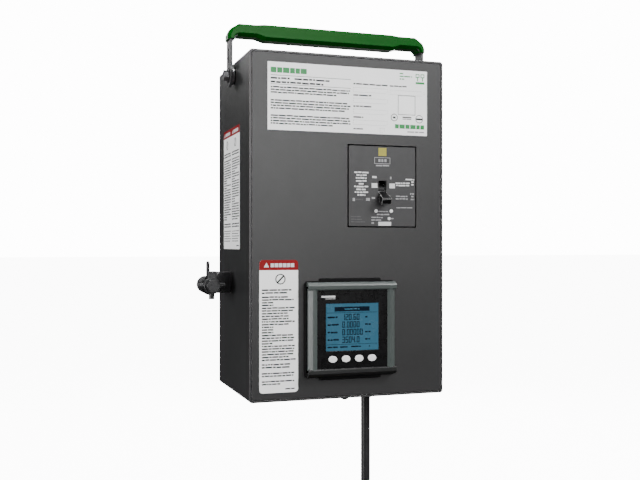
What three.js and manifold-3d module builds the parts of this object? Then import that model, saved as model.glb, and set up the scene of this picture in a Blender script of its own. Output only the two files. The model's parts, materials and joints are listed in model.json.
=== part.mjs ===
// Plug-in power distribution box: a sheet steel box with a bail handle, a moulded-case breaker,
// a panel meter, a side clamp, plug-on jaws at the rear and a drop cord with a connector.
// Millimetres. +X points right as seen from the front, +Y points to the rear and +Z points up.
// The origin is the centre of the rear face.
import * as THREE from 'three';
import { mergeVertices } from 'three/addons/utils/BufferGeometryUtils.js';
import Module from 'manifold-3d';

const wasm = await Module();
wasm.setup();

// ---------------------------------------------------------------- driving dimensions

// Clearances
const touchGap = 0.3; // air between pieces that rest against each other
const boreGap = 0.3; // radial air between a shank and its hole
const overshoot = 1; // how far a cutting solid runs past the face it opens

// Enclosure
const boxWidth = 213;
const boxDepth = 146;
const boxHeight = 355;
const wall = 2;
const cornerRadius = 3;
const coverSheet = 1.6;
const coverReveal = 0.7; // gap between the cover's edge and the body's walls
const coverFlange = 24;
const coverCorner = 2;
const coverScrewSetback = 15;
const coverScrewShank = 2.2;
const coverScrewHead = 4.75;
const coverScrewRise = 4.4;
const coverNutRadius = 5;
const coverNutHeight = 4;

// Plug-on base with its jaws, high on the rear wall
const stabBelowTop = 42.5;
const stabBossWidth = 70;
const stabBossHeight = 50;
const stabBossCorner = 2;
const stabFlange = 8;
const stabFlangeThickness = 5;
const stabDepth = 35;
const stabRecess = 0.5;
const jawCount = 4;
const jawPitch = 16;
const jawSlotWidth = 9;
const jawSlotHeight = 40;
const jawSlotDepth = 26;
const jawSheet = 1;
const stabScrewShank = 1.8;
const stabScrewHead = 3.4;
const stabScrewHeadHeight = 2.4;

// Breaker
const breakerCentreX = 36.7;
const breakerBelowTop = 135.1;
const breakerWindowWidth = 78;
const breakerWindowHeight = 86.6;
const breakerWindowGap = 1.5;
const breakerFaceProud = 0.3;
const breakerShoulder = 12; // front face to the case's wide part
const breakerCaseWidth = 104;
const breakerCaseHeight = 163;
const breakerCaseDepth = 70;
const poleCount = 3;
const polePitch = 35;
const lugPocketWidth = 24;
const lugPocketDepth = 24;
const lugPocketHeight = 18;
const lugSetback = 58; // front face to the lugs' centre line
const togglePivotBelow = 3.9; // below the breaker window's centre
const togglePivotSetback = 9;
const toggleTilt = 31; // degrees below level when off, and above it when on
const toggleWidth = 8.4;
const toggleDrumRadius = 7.5;
const toggleReach = 25;
const toggleThickness = 7.2;
const toggleWaist = 5.6;
const toggleTipWidth = 10.4;
const toggleTipLength = 9;
const toggleSideGap = 0.4;
const tripButtonX = 9.9;
const tripButtonZ = -25.8;
const tripButtonRadius = 1.8;
const tripButtonLength = 6;
const tripButtonProud = 0.9;
const tripButtonTravel = 1.2;
const bracketWidth = 80;
const bracketFoot = 14;
const bracketSheet = 2;
const bracketHeight = 100;

// Panel meter
const meterCentreAboveBottom = 72.3;
const meterBezelSize = 96;
const meterBezelCorner = 4;
const meterBezelProud = 12;
const meterSideRail = 9.6;
const meterEndRail = 8;
const meterBezelLip = 2.8;
const meterGasketProud = 1.4; // past the bezel, on each side
const meterGasketThickness = 3.6;
const meterGasketTabWidth = 67;
const meterGasketTabProud = 4;
const meterPanelThickness = 3;
const meterScreenSideMargin = 9.4; // screen to the bezel's window
const meterScreenTopMargin = 13.5;
const meterScreenBottomMargin = 17.5;
const meterScreenThickness = 2.4;
const meterButtonCount = 4;
const meterButtonPitch = 14.3;
const meterButtonWidth = 9.2;
const meterButtonHeight = 7;
const meterButtonAbove = 9.5; // above the bezel's window's lower edge
const meterButtonProud = 1.2;
const meterButtonTravel = 1;
const meterButtonSideGap = 0.35;
const meterCaseInset = 4.3; // behind the bezel's edge; the panel in front of the case is as large
const meterCaseDepth = 50;
const meterCutoutInset = 2;

// Bail handle
const handleSetback = 70; // front face to the pivot line
const handleBelowTop = 15;
const handleStandoff = 3.4;
const armThickness = 2.6;
const armWidth = 18;
const armEyeRadius = 12.5;
const strapTop = 49.5;
const strapCorner = 8;
const armSlotWidth = 5;
const armSlotLength = 15;
const armSlotCentre = 20.5;
const handleShank = 4;
const handleSpacerRadius = 9;
const handleBoltFlange = 7.6;
const handleBoltFlangeThickness = 1.2;
const handleBoltHead = 5.75;
const handleBoltHeadHeight = 4;
const handleNutRadius = 7.5;
const handleNutHeight = 6.5;
const gripLegInside = 0.4; // leg's inner face outside the wall
const gripLegThickness = 7.6;
const gripLegBottom = 38;
const gripUnderside = 41.4;
const gripTop = 55;
const gripMiddleUnderside = 38.6;
const gripMiddleTop = 56;
const gripMiddleHalf = 74;
const gripMiddleRamp = 9;
const gripOuterChamfer = 12;
const gripInnerChamfer = 3;
const gripDepth = 25;
const gripFacetDepth = 6;
const gripFacetWidth = 3;

// Side clamp, a quarter-turn latch on the left wall
const clampAxisOut = 24.2; // wall to the shaft's axis
const clampAboveBottom = 115;
const clampSetback = 83; // front face to the block's front face
const clampDepth = 25;
const clampBlockOut = 15.6;
const clampBlockBelow = 8.7;
const clampBlockAbove = 14;
const clampBlockChamfer = 3;
const clampBossRadius = 9.5;
const clampShaftRadius = 4;
const clampHexFlats = 13.4;
const clampHexHeight = 6.5;
const clampKnobThickness = 10;
const clampKnobHub = 8.8;
const clampArmRadius = 3.1;
const clampArmReach = 14.4;
const clampLugWidth = 9;
const clampLugReach = 15.4;
const clampDiscRadius = 10.4;
const clampDiscThickness = 7.2;
const clampDogThickness = 4;
const clampDogReach = 19.5;
const clampDogWidth = 10;
const lockPinRadius = 2;
const lockPinSetback = 8; // block's front face to the pin
const lockPinTop = 26;
const clampScrewShank = 2.2;
const clampScrewHead = 4.2;
const clampScrewHeadHeight = 3;
const clampScrewReach = 9;
const clampScrewAbove = 3;

// Cord gland in the bottom wall
const glandX = 60.5;
const glandInFront = 36; // gland's axis in front of the rear face
const glandThread = 8;
const glandThreadRise = 10;
const glandHexFlats = 24;
const glandHexHeight = 5;
const glandNutTop = 10.5;
const glandNutEnd = 7.2;
const glandLength = 20;
const glandLocknutFlats = 22;
const glandLocknutHeight = 4;

// Drop cord and its connector. Places are from the gland's axis at the box's bottom face.
const cordDiameter = 10.8;
const cordGap = 0.5; // radial air between the cord and a bore
const cordDown = [
  [0, 0, 5.5],
  [0, 0, -10],
  [0, 0, -25],
  [0, 0, -40],
  [0, 0, -55],
  [0, 0, -70],
  [0, 0, -85],
  [0, 0, -100],
  [0, 0, -113],
  [0, 0, -125],
  [0.65, -0.1, -133],
  [2.4, -0.4, -141],
];
const coilCentre = [-39, -15, -191];
const coilRadius = 55; // at the middle of its turns
const coilHalfWidth = 17.4;
const coilEndArc = 4; // points in the half circle at each end of the coil's section
const cordTail = [
  [16, -27, -239],
  [16, -27, -250.7],
];
const tailGap = 0.88; // air between the tail's end and the coil
const tieWidth = 9;
const tieThickness = 1.5;
const connectorTop = -251;
const connectorClampLength = 26;
const connectorClampTop = 7.5;
const connectorClampEnd = 13;
const connectorShellLength = 48;
const connectorShellNeck = 16;
const connectorShellRadius = 21;
const connectorFaceRadius = 18.5;
const connectorFaceThickness = 6;
const bladeSlotRing = 10;
const bladeSlotWidth = 2.2;
const bladeSlotLength = 8;

// Inside
const currentTransformerHeight = 17;
const currentTransformerDepth = 32;
const currentTransformerWindow = 8;
const wireRadius = 2;
const wireRing = 3.15; // cord's cores around its axis
const groundBarWidth = 12;
const groundBarDepth = 9;
const groundBarLength = 60;
const groundBarHoles = 4;
const fuseBlockWidth = 50;
const fuseBlockDepth = 16;
const fuseBlockHeight = 60;
const fuseRadius = 5;
const fuseCount = 3;

// Fineness of round shapes
const cordSides = 10;
const fine = 24;
const medium = 16;
const coarse = 12;
const arcFineness = 3; // steps in a plate's rounded corner
const weldTolerance = 1e-4;

// ---------------------------------------------------------------- places that follow

const leftWall = -boxWidth / 2;
const front = -boxDepth;
const top = boxHeight / 2;
const bottom = -boxHeight / 2;
const coverWidth = boxWidth - 2 * (wall + coverReveal);
const coverHeight = boxHeight - 2 * (wall + coverReveal);
const breakerCentreZ = top - breakerBelowTop;
const meterCentreZ = bottom + meterCentreAboveBottom;
const handleY = front + handleSetback;
const handleZ = top - handleBelowTop;
const armInner = boxWidth / 2 + handleStandoff;
const armOuter = armInner + armThickness;
const armMiddle = (armInner + armOuter) / 2;
const clampX = leftWall - clampAxisOut;
const clampY = front + clampSetback;
const clampZ = bottom + clampAboveBottom;
const meterWindow = [meterBezelSize - 2 * meterSideRail, meterBezelSize - 2 * meterEndRail];
const meterScreenWidth = meterWindow[0] - 2 * meterScreenSideMargin;
const meterScreenHeight = meterWindow[1] - meterScreenTopMargin - meterScreenBottomMargin;
const meterScreenAbove = (meterScreenBottomMargin - meterScreenTopMargin) / 2;
const meterButtonBelow = meterWindow[1] / 2 - meterButtonAbove;
const meterGasketSize = meterBezelSize + 2 * meterGasketProud;
const meterCaseSize = meterBezelSize - 2 * meterCaseInset;
const meterCutout = meterBezelSize - 2 * meterCutoutInset;
const cordRadius = cordDiameter / 2;
const glandY = -glandInFront;
const stabCentreZ = top - stabBelowTop;
const stabInnerFace = -(stabRecess + stabDepth);
const stabScrewX = stabBossWidth / 2 + stabFlange / 2;

// ---------------------------------------------------------------- shapes

// A geometry with shared corners and no empty faces.
function welded(geometry) {
  const bare = geometry.clone();
  bare.deleteAttribute('normal');
  bare.deleteAttribute('uv');
  const merged = mergeVertices(bare, weldTolerance);
  const corners = merged.index.array;
  const kept = [];
  for (let i = 0; i < corners.length; i += 3) {
    const [a, b, c] = [corners[i], corners[i + 1], corners[i + 2]];
    if (a !== b && b !== c && c !== a) {
      kept.push(a, b, c);
    }
  }
  merged.setIndex(kept);
  return merged;
}

function toSolid(geometry) {
  const merged = welded(geometry);
  const mesh = new wasm.Mesh({
    numProp: 3,
    vertProperties: new Float32Array(merged.attributes.position.array),
    triVerts: new Uint32Array(merged.index.array),
  });
  return new wasm.Manifold(mesh);
}

function toGeometry(solid) {
  const mesh = solid.getMesh();
  const geometry = new THREE.BufferGeometry();
  geometry.setAttribute('position', new THREE.BufferAttribute(mesh.vertProperties, 3));
  geometry.setIndex(new THREE.BufferAttribute(mesh.triVerts, 1));
  return geometry;
}

function join(pieces) {
  let solid = toSolid(pieces[0]);
  for (const piece of pieces.slice(1)) {
    solid = solid.add(toSolid(piece));
  }
  return toGeometry(solid);
}

function cut(base, tools) {
  let solid = toSolid(base);
  for (const tool of tools) {
    solid = solid.subtract(toSolid(tool));
  }
  return toGeometry(solid);
}

function block(width, depth, height) {
  return new THREE.BoxGeometry(width, depth, height);
}

// A block given by its lowest and highest corners.
function blockBetween(low, high) {
  const size = high.map((value, i) => value - low[i]);
  const middle = high.map((value, i) => (value + low[i]) / 2);
  return block(...size).translate(...middle);
}

// A cylinder along an axis, centred on the origin.
function rod(radius, length, axis, sides = medium) {
  const geometry = new THREE.CylinderGeometry(radius, radius, length, sides);
  if (axis === 'x') {
    geometry.rotateZ(-Math.PI / 2);
  }
  if (axis === 'z') {
    geometry.rotateX(Math.PI / 2);
  }
  return geometry;
}

// A cylinder along an axis that runs from one coordinate on it to another.
function rodBetween(radius, from, to, axis, sides = medium) {
  const middle = (from + to) / 2;
  const place = { x: [middle, 0, 0], y: [0, middle, 0], z: [0, 0, middle] }[axis];
  return rod(radius, to - from, axis, sides).translate(...place);
}

// A hexagonal prism along an axis, given by its width across flats.
function hexBetween(flats, from, to, axis) {
  return rodBetween(flats / Math.sqrt(3), from, to, axis, 6);
}

function polygon(points) {
  return new THREE.Shape(points.map(([x, y]) => new THREE.Vector2(x, y)));
}

function roundedRect(width, height, radius) {
  const x = width / 2 - radius;
  const y = height / 2 - radius;
  const shape = new THREE.Shape();
  shape.absarc(x, -y, radius, -Math.PI / 2, 0);
  shape.absarc(x, y, radius, 0, Math.PI / 2);
  shape.absarc(-x, y, radius, Math.PI / 2, Math.PI);
  shape.absarc(-x, -y, radius, Math.PI, 1.5 * Math.PI);
  return shape;
}

// A flat plate of any outline in a plane, centred on its thickness.
function plate(shape, thickness, plane, arcSteps = arcFineness) {
  const options = { depth: thickness, bevelEnabled: false, curveSegments: arcSteps };
  const geometry = new THREE.ExtrudeGeometry(shape, options);
  geometry.translate(0, 0, -thickness / 2);
  const turn = new THREE.Matrix4();
  if (plane === 'xz') {
    turn.makeRotationX(Math.PI / 2);
  }
  if (plane === 'yz') {
    turn.set(0, 0, 1, 0, 1, 0, 0, 0, 0, 1, 0, 0, 0, 0, 0, 1);
  }
  return geometry.applyMatrix4(turn);
}

// An upright plate that faces the front, between two places along Y.
function facePlate(shape, from, to, arcSteps) {
  return plate(shape, to - from, 'xz', arcSteps).translate(0, (from + to) / 2, 0);
}

// A turned solid about Z, from its half outline of [radius, height] points.
function turned(outline, sides = medium) {
  const points = outline.map(([radius, height]) => new THREE.Vector2(radius, height));
  return new THREE.LatheGeometry(points, sides).rotateX(Math.PI / 2);
}

// A round tube with closed ends along a smooth curve through points.
function tube(points, radius, steps, sides = 8) {
  const section = [];
  for (let i = 0; i < sides; i += 1) {
    const angle = (2 * Math.PI * i) / sides;
    section.push([radius * Math.cos(angle), radius * Math.sin(angle)]);
  }
  const curve = new THREE.CatmullRomCurve3(points.map((p) => new THREE.Vector3(...p)), false, 'centripetal');
  const options = { extrudePath: curve, steps, curveSegments: 1, bevelEnabled: false };
  return new THREE.ExtrudeGeometry(polygon(section), options);
}

// ---------------------------------------------------------------- finishes

const finishes = {
  blackPaint: [0x26272a, 0.48, 0.25],
  darkPaint: [0x3c3d40, 0.5, 0.25],
  greenPlastic: [0x0a7d2d, 0.3, 0],
  darkSteel: [0x4a4b4d, 0.4, 0.8],
  zincSteel: [0xa8acb0, 0.35, 0.9],
  copper: [0xb4693a, 0.35, 0.9],
  greyPlastic: [0x5c5d5f, 0.55, 0],
  blackPlastic: [0x17181a, 0.42, 0],
  greyBezel: [0x55585a, 0.4, 0.1],
  blueGlass: [0x5f86a6, 0.15, 0],
  whitePlastic: [0xeeeff0, 0.4, 0],
  blackRubber: [0x141415, 0.6, 0],
  redWire: [0x8c1d18, 0.5, 0],
  blueWire: [0x1f3f7a, 0.5, 0],
  castBlack: [0x232426, 0.55, 0.5],
  yellowPlastic: [0xc9a227, 0.45, 0],
};

function part(name, geometry, finish, position = [0, 0, 0]) {
  const [color, roughness, metalness] = finishes[finish];
  const material = new THREE.MeshStandardMaterial({ color, roughness, metalness });
  const shape = welded(geometry);
  shape.computeVertexNormals();
  const mesh = new THREE.Mesh(shape, material);
  mesh.name = name;
  mesh.position.set(...position);
  return mesh;
}

function assembly(position, parts) {
  const group = new THREE.Group();
  group.position.set(...position);
  group.add(...parts);
  return group;
}

// ---------------------------------------------------------------- enclosure

function enclosureBody() {
  const outline = roundedRect(boxWidth, boxHeight, cornerRadius);
  const inside = roundedRect(boxWidth - 2 * wall, boxHeight - 2 * wall, cornerRadius - wall / 2);
  const shell = facePlate(outline, front, 0);
  const cavity = facePlate(inside, front - overshoot, -wall);
  const bossHole = [stabBossWidth + 2 * touchGap, stabBossHeight + 2 * touchGap];
  const stabHole = facePlate(roundedRect(...bossHole, stabBossCorner), -2 * wall, overshoot);
  stabHole.translate(0, 0, stabCentreZ);
  const pivotHole = rod(handleShank + boreGap, boxWidth + 2 * overshoot, 'x').translate(0, handleY, handleZ);
  const glandHole = rod(glandThread + boreGap, 4 * wall, 'z').translate(glandX, glandY, bottom);
  const screwHole = rod(coverScrewShank + boreGap, 4 * wall, 'z', coarse);
  screwHole.translate(0, front + coverScrewSetback, bottom);
  const clampHole = rod(clampScrewShank + boreGap, 4 * wall, 'x', coarse);
  clampHole.translate(leftWall, clampY + clampDepth / 2, clampZ + clampScrewAbove);
  const stabScrewHoles = [-1, 1].map((side) => {
    const hole = rod(stabScrewShank + boreGap, 4 * wall, 'y', coarse);
    return hole.translate(side * stabScrewX, 0, stabCentreZ);
  });
  return cut(shell, [cavity, stabHole, pivotHole, glandHole, screwHole, clampHole, ...stabScrewHoles]);
}

function frontCover() {
  const outline = roundedRect(coverWidth, coverHeight, coverCorner);
  const inside = roundedRect(coverWidth - 2 * coverSheet, coverHeight - 2 * coverSheet, coverCorner / 2);
  const pan = facePlate(outline, front, front + coverFlange);
  const hollow = facePlate(inside, front + coverSheet, front + coverFlange + overshoot);
  const through = [front - overshoot, front + coverSheet + overshoot];
  const breakerWindow = facePlate(roundedRect(breakerWindowWidth, breakerWindowHeight, 1), ...through);
  breakerWindow.translate(breakerCentreX, 0, breakerCentreZ);
  const meterHole = facePlate(roundedRect(meterCutout, meterCutout, 1), ...through);
  meterHole.translate(0, 0, meterCentreZ);
  const screwHole = rod(coverScrewShank + boreGap, 4 * coverSheet, 'z', coarse);
  screwHole.translate(0, front + coverScrewSetback, -coverHeight / 2);
  return cut(pan, [hollow, breakerWindow, meterHole, screwHole]);
}

// The screw hangs under the bottom wall and reaches up through the cover's lower flange.
function coverScrew() {
  const shankTop = wall + coverReveal + coverSheet + coverNutHeight + 2;
  return turned([
    [0, -coverScrewRise],
    [0.55 * coverScrewHead, -0.9 * coverScrewRise],
    [0.88 * coverScrewHead, -0.6 * coverScrewRise],
    [coverScrewHead, -0.2 * coverScrewRise],
    [coverScrewHead, -touchGap],
    [coverScrewShank, -touchGap],
    [coverScrewShank, shankTop],
    [0, shankTop],
  ]);
}

function coverNut() {
  const low = wall + coverReveal + coverSheet + touchGap;
  const hex = rodBetween(coverNutRadius, low, low + coverNutHeight, 'z', 6);
  return cut(hex, [rodBetween(coverScrewShank + boreGap, 0, 2 * low + coverNutHeight, 'z', coarse)]);
}

// ---------------------------------------------------------------- plug-on base

function jawX(index) {
  return (index - (jawCount - 1) / 2) * jawPitch;
}

// A moulded block whose boss fills the rear wall's window, with one slot for each busbar.
function stabBase() {
  const bossOutline = roundedRect(stabBossWidth, stabBossHeight, stabBossCorner);
  const boss = facePlate(bossOutline, stabInnerFace, -stabRecess);
  const flangeRear = -wall - touchGap;
  const flangeSize = [stabBossWidth + 2 * stabFlange, stabBossHeight + 2 * stabFlange];
  const flange = facePlate(
    roundedRect(...flangeSize, stabBossCorner),
    flangeRear - stabFlangeThickness,
    flangeRear,
  );
  const slots = [];
  for (let i = 0; i < jawCount; i += 1) {
    const slot = blockBetween(
      [-jawSlotWidth / 2, -stabRecess - jawSlotDepth, -jawSlotHeight / 2],
      [jawSlotWidth / 2, overshoot, jawSlotHeight / 2],
    );
    slots.push(slot.translate(jawX(i), 0, 0));
  }
  const screwHoles = [-1, 1].map((side) => {
    const hole = rod(stabScrewShank + boreGap, 4 * stabFlangeThickness, 'y', coarse);
    return hole.translate(side * stabScrewX, flangeRear, 0);
  });
  return cut(join([boss, flange]), [...slots, ...screwHoles]);
}

// A spring clip bent from sheet, open to the rear.
function stabJaw() {
  const side = jawSlotWidth / 2 - touchGap;
  const floor = -stabRecess - jawSlotDepth + touchGap;
  const mouth = -stabRecess - 2;
  const outline = polygon([
    [-side, mouth],
    [-side, floor],
    [side, floor],
    [side, mouth],
    [side - jawSheet, mouth],
    [side - jawSheet, floor + jawSheet],
    [-side + jawSheet, floor + jawSheet],
    [-side + jawSheet, mouth],
  ]);
  return plate(outline, jawSlotHeight - 4 * touchGap, 'xy');
}

// A round-headed screw from inside the box into the rear wall.
function stabScrew() {
  const seat = -wall - touchGap - stabFlangeThickness - touchGap;
  const screw = turned([
    [0, touchGap],
    [stabScrewShank, touchGap],
    [stabScrewShank, -seat],
    [stabScrewHead, -seat],
    [stabScrewHead, -seat + 0.4 * stabScrewHeadHeight],
    [0.6 * stabScrewHead, -seat + stabScrewHeadHeight],
    [0, -seat + stabScrewHeadHeight],
  ], coarse);
  return screw.rotateX(Math.PI / 2);
}

const stabParts = [part('stab_base', stabBase(), 'blackPlastic')];
for (let i = 0; i < jawCount; i += 1) {
  stabParts.push(part(`stab_jaw_${i + 1}`, stabJaw(), 'copper', [jawX(i), 0, 0]));
}
stabParts.push(part('stab_base_screw_left', stabScrew(), 'zincSteel', [-stabScrewX, 0, 0]));
stabParts.push(part('stab_base_screw_right', stabScrew(), 'zincSteel', [stabScrewX, 0, 0]));

const enclosure = assembly([0, 0, 0], [
  part('enclosure_body', enclosureBody(), 'blackPaint'),
  part('front_cover', frontCover(), 'darkPaint'),
  part('cover_screw', coverScrew(), 'darkSteel', [0, front + coverScrewSetback, bottom]),
  part('cover_nut', coverNut(), 'zincSteel', [0, front + coverScrewSetback, bottom]),
  assembly([0, 0, stabCentreZ], stabParts),
]);

// ---------------------------------------------------------------- breaker

// Places here are from the centre of the breaker's window in the front face.
const breakerFaceY = -breakerFaceProud;
const breakerRearY = breakerShoulder + breakerCaseDepth;
const toggleZ = -togglePivotBelow;
const toggleHalfSwing = THREE.MathUtils.degToRad(toggleTilt);
const toggleSlotHalf =
  togglePivotSetback * Math.tan(toggleHalfSwing) +
  toggleThickness / 2 / Math.cos(toggleHalfSwing) +
  toggleSideGap;

function poleX(index) {
  return (index - (poleCount - 1) / 2) * polePitch;
}

function breakerCase() {
  const face = [
    breakerWindowWidth - 2 * breakerWindowGap,
    breakerWindowHeight - 2 * breakerWindowGap,
  ];
  const escutcheon = facePlate(roundedRect(...face, 1), breakerFaceY, breakerShoulder + overshoot);
  const wide = facePlate(
    roundedRect(breakerCaseWidth, breakerCaseHeight, 2),
    breakerShoulder,
    breakerRearY,
  );
  const pocketHalfWidth = toggleWidth / 2 + toggleSideGap;
  const pocketHalf = Math.max(toggleSlotHalf, toggleDrumRadius + toggleSideGap);
  const tools = [
    blockBetween(
      [-pocketHalfWidth, breakerFaceY - overshoot, toggleZ - pocketHalf],
      [pocketHalfWidth, togglePivotSetback + toggleDrumRadius + toggleSideGap, toggleZ + pocketHalf],
    ),
    rodBetween(
      tripButtonRadius + boreGap,
      breakerFaceY - overshoot,
      breakerFaceY + tripButtonLength + tripButtonTravel,
      'y',
      coarse,
    ).translate(tripButtonX, 0, tripButtonZ),
  ];
  for (let i = 0; i < poleCount; i += 1) {
    for (const end of [-1, 1]) {
      const pocket = block(lugPocketWidth, lugPocketDepth, 2 * lugPocketHeight);
      tools.push(pocket.translate(poleX(i), lugSetback, (end * breakerCaseHeight) / 2));
    }
  }
  return cut(join([escutcheon, wide]), tools);
}

// A drum with a lever that points to the front, thicker from its waist to its tip, and a wider tip.
function breakerToggle() {
  const half = toggleThickness / 2;
  const waist = toggleWaist / 2;
  const slope = (half - waist) / (toggleReach - 1 - toggleDrumRadius);
  const outline = (reach) => {
    const rear = waist + slope * (reach - toggleDrumRadius);
    return polygon([
      [-reach, -rear],
      [-toggleReach + 1, -half],
      [-toggleReach, -half + 1],
      [-toggleReach, half - 1],
      [-toggleReach + 1, half],
      [-reach, rear],
    ]);
  };
  const lever = plate(outline(toggleDrumRadius / 2), toggleWidth, 'yz');
  const tip = plate(outline(toggleReach - toggleTipLength), toggleTipWidth, 'yz');
  return join([rod(toggleDrumRadius, toggleWidth, 'x'), lever, tip]);
}

function tripButton() {
  const outer = breakerFaceY - tripButtonProud;
  return rodBetween(tripButtonRadius, outer, outer + tripButtonLength, 'y', coarse);
}

// A hat-shaped bracket that carries the breaker on the rear wall.
function breakerBracket() {
  const web = breakerRearY + touchGap;
  const floor = boxDepth - wall - touchGap;
  const half = bracketWidth / 2;
  const inner = half - bracketSheet;
  const foot = half + bracketFoot;
  const outline = polygon([
    [-half, web],
    [half, web],
    [half, floor - bracketSheet],
    [foot, floor - bracketSheet],
    [foot, floor],
    [inner, floor],
    [inner, web + bracketSheet],
    [-inner, web + bracketSheet],
    [-inner, floor],
    [-foot, floor],
    [-foot, floor - bracketSheet],
    [-half, floor - bracketSheet],
  ]);
  return plate(outline, bracketHeight, 'xy');
}

const toggle = part('breaker_toggle', breakerToggle(), 'blackPlastic', [0, togglePivotSetback, toggleZ]);
toggle.rotation.x = toggleHalfSwing;

const breaker = assembly([breakerCentreX, front, breakerCentreZ], [
  part('breaker_case', breakerCase(), 'greyPlastic'),
  toggle,
  part('trip_button', tripButton(), 'whitePlastic', [tripButtonX, 0, tripButtonZ]),
  part('breaker_bracket', breakerBracket(), 'zincSteel'),
]);

// ---------------------------------------------------------------- panel meter

// Places here are from the centre of the meter in the front face, one layer behind the other.
const gasketRear = -touchGap;
const gasketFront = gasketRear - meterGasketThickness;
const bezelFront = -meterBezelProud;
const bezelRear = gasketFront - touchGap;
const lipRear = bezelFront + meterBezelLip;
const panelFront = lipRear + touchGap;
const panelRear = panelFront + meterPanelThickness;
const screenFront = panelFront + 0.2;
const caseFront = panelRear + touchGap;
const buttonFront = panelFront - meterButtonProud;
const buttonRear = caseFront - touchGap - meterButtonTravel;

function meterGasket() {
  const outline = roundedRect(meterGasketSize, meterGasketSize, meterBezelCorner);
  const frame = facePlate(outline, gasketFront, gasketRear);
  const tabHeight = meterBezelSize + 2 * meterGasketTabProud;
  const tabs = facePlate(roundedRect(meterGasketTabWidth, tabHeight, 1.5), gasketFront, gasketRear);
  const opening = meterCaseSize + 2 * touchGap;
  const hole = block(opening, 4 * meterGasketThickness, opening);
  return cut(join([frame, tabs]), [hole]);
}

function meterBezel() {
  const outline = roundedRect(meterBezelSize, meterBezelSize, meterBezelCorner);
  const frame = facePlate(outline, bezelFront, bezelRear);
  const window = block(meterWindow[0], 4 * meterBezelProud, meterWindow[1]);
  const rebateSize = meterCaseSize + 2 * touchGap;
  const rebate = blockBetween(
    [-rebateSize / 2, lipRear, -rebateSize / 2],
    [rebateSize / 2, bezelRear + overshoot, rebateSize / 2],
  );
  return cut(frame, [window, rebate]);
}

function buttonX(index) {
  return (index - (meterButtonCount - 1) / 2) * meterButtonPitch;
}

// An ellipse, so the buttons and their holes are the same shape.
function buttonOutline(gap) {
  const points = [];
  for (let i = 0; i < medium; i += 1) {
    const angle = (2 * Math.PI * i) / medium;
    const across = (meterButtonWidth / 2 + gap) * Math.cos(angle);
    points.push([across, (meterButtonHeight / 2 + gap) * Math.sin(angle)]);
  }
  return polygon(points);
}

function meterPanel() {
  const body = facePlate(roundedRect(meterCaseSize, meterCaseSize, 1), panelFront, panelRear);
  const window = block(meterScreenWidth, 4 * meterBezelProud, meterScreenHeight);
  const tools = [window.translate(0, 0, meterScreenAbove)];
  for (let i = 0; i < meterButtonCount; i += 1) {
    const hole = facePlate(buttonOutline(meterButtonSideGap), panelFront - overshoot, panelRear + overshoot);
    tools.push(hole.translate(buttonX(i), 0, -meterButtonBelow));
  }
  return cut(body, tools);
}

function meterScreen() {
  const width = meterScreenWidth - 2 * touchGap;
  const height = meterScreenHeight - 2 * touchGap;
  const glass = blockBetween(
    [-width / 2, screenFront, -height / 2],
    [width / 2, screenFront + meterScreenThickness, height / 2],
  );
  return glass.translate(0, 0, meterScreenAbove);
}

function meterCase() {
  return facePlate(roundedRect(meterCaseSize, meterCaseSize, 1), caseFront, meterCaseDepth);
}

const meterParts = [
  part('meter_gasket', meterGasket(), 'blackRubber'),
  part('meter_bezel', meterBezel(), 'greyBezel'),
  part('meter_panel', meterPanel(), 'blackPlastic'),
  part('meter_screen', meterScreen(), 'blueGlass'),
  part('meter_case', meterCase(), 'blackPlastic'),
];
for (let i = 0; i < meterButtonCount; i += 1) {
  const button = facePlate(buttonOutline(0), buttonFront, buttonRear);
  meterParts.push(part(`meter_button_${i + 1}`, button, 'whitePlastic', [buttonX(i), 0, -meterButtonBelow]));
}
const meter = assembly([0, front, meterCentreZ], meterParts);

// ---------------------------------------------------------------- bail handle

// Places here are from the middle of the pivot line, with the handle upright.
const legInner = boxWidth / 2 + gripLegInside;
const legOuter = legInner + gripLegThickness;

// The strap's outline seen from the front, from the pivot line up and across, grown by a gap.
function strapOutline(gap) {
  const outer = armOuter + gap;
  const inner = armInner - gap;
  const crossTop = strapTop + gap;
  const crossUnder = strapTop - armThickness - gap;
  const bend = strapCorner * Math.tan(Math.PI / 8);
  const right = [
    [inner, 0],
    [outer, 0],
    [outer, crossTop - strapCorner - bend],
    [outer - strapCorner, crossTop - bend],
    [outer - strapCorner - bend, crossTop],
  ];
  const rightInner = [
    [inner - strapCorner - bend + armThickness / 2, crossUnder],
    [inner - strapCorner + armThickness / 2, crossUnder - bend],
    [inner, crossUnder - strapCorner - bend + armThickness / 2],
  ];
  const mirrored = (points) => points.map(([x, z]) => [-x, z]).reverse();
  return polygon([...right, ...mirrored(right), ...mirrored(rightInner), ...rightInner]);
}

// One strap bent into a U, with an eye and a slot in each arm.
function handleBail() {
  const strap = facePlate(strapOutline(0), -armWidth / 2, armWidth / 2);
  const tools = [rod(handleShank + boreGap, 2 * armOuter + overshoot, 'x')];
  const pieces = [strap];
  for (const side of [-1, 1]) {
    pieces.push(rod(armEyeRadius, armThickness, 'x', fine).translate(side * armMiddle, 0, 0));
    const slotOutline = roundedRect(armSlotWidth, armSlotLength, armSlotWidth / 2 - 0.05);
    const slot = plate(slotOutline, 4 * armThickness, 'yz');
    tools.push(slot.translate(side * armMiddle, 0, armSlotCentre));
  }
  return cut(join(pieces), tools);
}

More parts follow.
